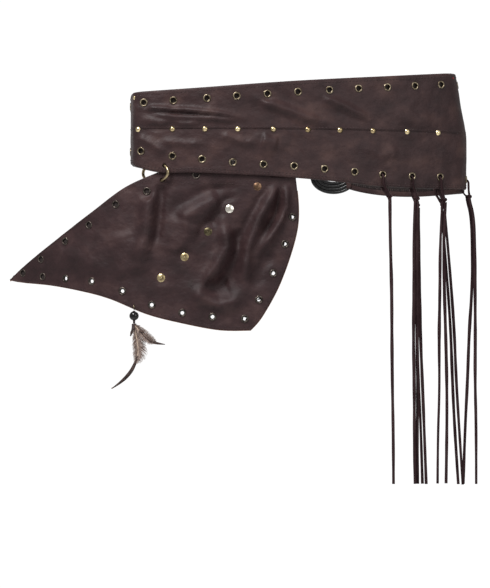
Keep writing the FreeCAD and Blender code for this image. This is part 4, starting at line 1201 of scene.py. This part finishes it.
# ---- pendant ----
def blade(name, spine, barbs, reach, lean, material, seed, fluff, width):
    """One feather: its quill and both rows of barbs. reach gives the barbs' length along it."""
    source = random.Random(seed)
    spine = evenly(nurbs_points(spine), 0.6)
    count = len(spine) - 1
    quill = sweep(name + "_quill", spine, lambda t: (0.42 * (1 - 0.85 * t),) * 2, QUILL, "pendant", sides=6)
    points = []
    faces = []
    for i in range(barbs):
        for side in (-1, 1):
            t = (i + source.random()) / barbs
            place = t * count
            k = min(int(place), count - 1)
            forward = spine[k + 1] - spine[k]
            root = spine[k] + forward * (place - k)
            forward = forward / np.linalg.norm(forward)
            across = np.cross(forward, (0.0, 1.0, 0.0)) * side
            length = reach(t, side) * source.uniform(0.78, 1.08)
            bend = source.uniform(-fluff, fluff)
            aside = np.array([0.0, source.uniform(-fluff, fluff), 0.0])
            direction = forward * lean + across + aside
            direction = direction / np.linalg.norm(direction)
            curl = forward * (BARB_CURL + bend) + aside
            base = len(points)
            for step in range(BARB_STEPS + 1):
                share = step / BARB_STEPS
                p = root + direction * length * share + curl * length * BARB_CURL * share * share
                half = width * (1 - 0.85 * share) / 2
                points += [p + forward * half, p - forward * half]
            faces += [(a, a + 1, a + 3, a + 2) for a in range(base, base + 2 * BARB_STEPS, 2)]
    barb_rows = make_object(name + "_barbs", points, faces, material, "pendant", smooth_faces=False)
    return quill


def vane(name, spine, half_width):
    """Smooth dark blade of a feather along its spine: widest near its middle, pointed at its end."""
    spine = evenly(nurbs_points(spine), 1.0)
    count = len(spine) - 1
    proud = np.array((0.0, 0.35, 0.0))
    points = []
    for i, place in enumerate(spine):
        forward = spine[min(i + 1, count)] - spine[max(i - 1, 0)]
        across = np.cross(forward / np.linalg.norm(forward), (0.0, 1.0, 0.0))
        half = half_width * (0.15 + 0.85 * math.sin(math.pi * min(0.12 + 0.86 * i / count, 0.98)))
        points += [place + across * half, place - proud, place - across * half, place + proud]
    piece = make_object(name, points, tube_faces(0, count + 1, 4), FEATHER_DARK, "pendant")


def long_reach(t, side):
    """Length of the long feather's barbs at share t of its quill."""
    body = math.sin(math.pi * min(max(t + 0.03, 0.0) / 0.56, 1.0))
    return (1.2 + (11.0 if side > 0 else 7.0) * body) * (1.0 if t < 0.62 else 0.8)


def side_reach(t, side):
    return (9.0 if side > 0 else 6.0) * math.sin(math.pi * min(0.2 + t, 1.0))


def small_reach(t, side):
    return 2.6 - 1.5 * t


# each feather: its quill below the binding, how far behind the binding's middle it hangs, what
# blade() needs, then its smooth vane: its name, the quill's point where it starts, its half width
FEATHERS = {
    "feather_long": (FEATHER_LONG, 0.0, (420, long_reach, 0.9, DOWN, SEED, 0.4, 0.75),
                     ("feather_long_tip", 3, 1.9)),
    "feather_side": (FEATHER_SIDE, -1.8, (260, side_reach, 0.8, DOWN, SEED + 2, 0.6, 0.7),
                     ("feather_side_vane", 1, 1.7)),
    "feather_small": (FEATHER_SMALL, 1.8, (60, small_reach, 1.0, FEATHER_DARK, SEED + 4, 0.4, 0.42),
                      ("feather_small_vane", 1, 1.3)),
}


def build_pendant():
    low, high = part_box("feather_binding")
    x = (low.x + high.x) / 2 / MM
    y = (low.y + high.y) / 2 / MM
    z = low.z / MM
    for name, (route, behind, barbs, (vane_name, first, half_width)) in FEATHERS.items():
        spine = [(px, y + behind, pz) for px, pz in [(x, z + 5)] + route]
        quill = blade(name, spine, *barbs)
        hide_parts(name)
        vane(vane_name, spine[first:], half_width)
    wound = []
    for i in range(WHIP_TURNS * WHIP_STEPS + 1):
        a = 2 * math.pi * i / WHIP_STEPS
        rise = WHIP_START + WHIP_TALL * i / (WHIP_TURNS * WHIP_STEPS)
        wound.append(Vector((x + WHIP_RADIUS * math.cos(a), y + WHIP_RADIUS * math.sin(a), z + rise)))
    binding = sweep("feather_binding_thread", wound, (0.5, 0.5), THREAD, "pendant", sides=6)
    core = sweep("feather_binding_core", [(x, y, z), (x, y, z + 3), (x, y, z + 6.0)],
                 (1.8, 1.8), THREAD, "pendant", sides=12)
    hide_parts("feather_binding")


# ---- finishes of the carried-over parts ----
CAD_FINISHES = {
    ANTIQUE: ["top_row_eyelets", "top_row_washers", "low_row_eyelets", "low_row_washers",
              "closure_eyelets", "closure_washers", "flap_washers",
              "stud_backs", "flap_rivet_backs", "pendant_loop"],
    DARK_EYELET: ["flap_eyelets"],
    BRIGHT: ["stud_caps", "corner_rivet"],
    RING_METAL: ["hip_ring"],
    BEAD: ["pendant_bead"],
    THREAD: ["pendant_cord"],
}
# each flap rivet's x and its finish
RIVET_FINISHES = [(-43.0, BRONZE), (-71.3, SILVER), (-93.0, OLIVE), (-116.7, DULL_BRASS),
                  (-140.5, DULL_BRASS)]


def set_materials(node, materials):
    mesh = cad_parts[node].data
    mesh.materials.clear()
    for material in materials:
        mesh.materials.append(material)
    return mesh


def finish_cad_parts():
    for material, names in CAD_FINISHES.items():
        for name in names:
            set_materials(name, [material])


def finish_rivets():
    """The flap's rivets, each with its own finish."""
    mesh = set_materials("flap_rivet_caps", [material for _, material in RIVET_FINISHES])
    for face in mesh.polygons:
        misses = [abs(face.center.x / MM - x) for x, _ in RIVET_FINISHES]
        face.material_index = misses.index(min(misses))


# ---- studio ----
def build_studio():
    material, tree, shader = new_material("studio_white")
    feed(tree, shader, {"Base Color": STUDIO_WHITE, "Roughness": 0.9})
    corners = [(x * FLOOR_HALF, y * FLOOR_HALF, FLOOR_Z) for x, y in ((-1, -1), (1, -1), (1, 1), (-1, 1))]
    mesh = bpy.data.meshes.new("studio_floor")
    mesh.from_pydata(corners, [], [(0, 1, 2, 3)])
    mesh.materials.append(material)
    floor = new_object("studio_floor", mesh)
    world = bpy.data.worlds.new("studio_world")
    world.use_nodes = True
    tree = world.node_tree
    direction = tree.nodes.new("ShaderNodeTexCoord").outputs["Generated"]
    forward = add_node(tree, "SeparateXYZ", {"Vector": direction}).outputs["Y"]
    strength = add_node(tree, "MapRange", {"Value": forward, **WORLD_STRENGTH}).outputs["Result"]
    feed(tree, tree.nodes["Background"], {"Color": (1.0, 1.0, 1.0, 1.0), "Strength": strength})
    scene.world = world
    scene.view_settings.view_transform = "Standard"
    for name, place, size, power in LIGHTS:
        data = bpy.data.lights.new(name, "AREA")
        data.size = size
        data.energy = power
        light = new_object(name, data)
        light.location = place
        aim = Vector(LIGHT_AIM) - Vector(place)
        light.rotation_euler = aim.to_track_quat("-Z", "Y").to_euler()


def main():
    make_camera()
    tails = tail_lines()
    lacing_line = evenly(nurbs_points(lacing_route()), TIE_STEP)
    hank_line = evenly(nurbs_points(hank_route(Vector(lacing_line[-1]))), HANK_STEP)
    build_belt()
    build_stitching()
    build_flap()
    build_strap()
    build_ties()
    build_tails(tails)
    build_black_cord(lacing_line, hank_line)
    build_pendant()
    finish_cad_parts()
    finish_rivets()
    build_studio()


main()
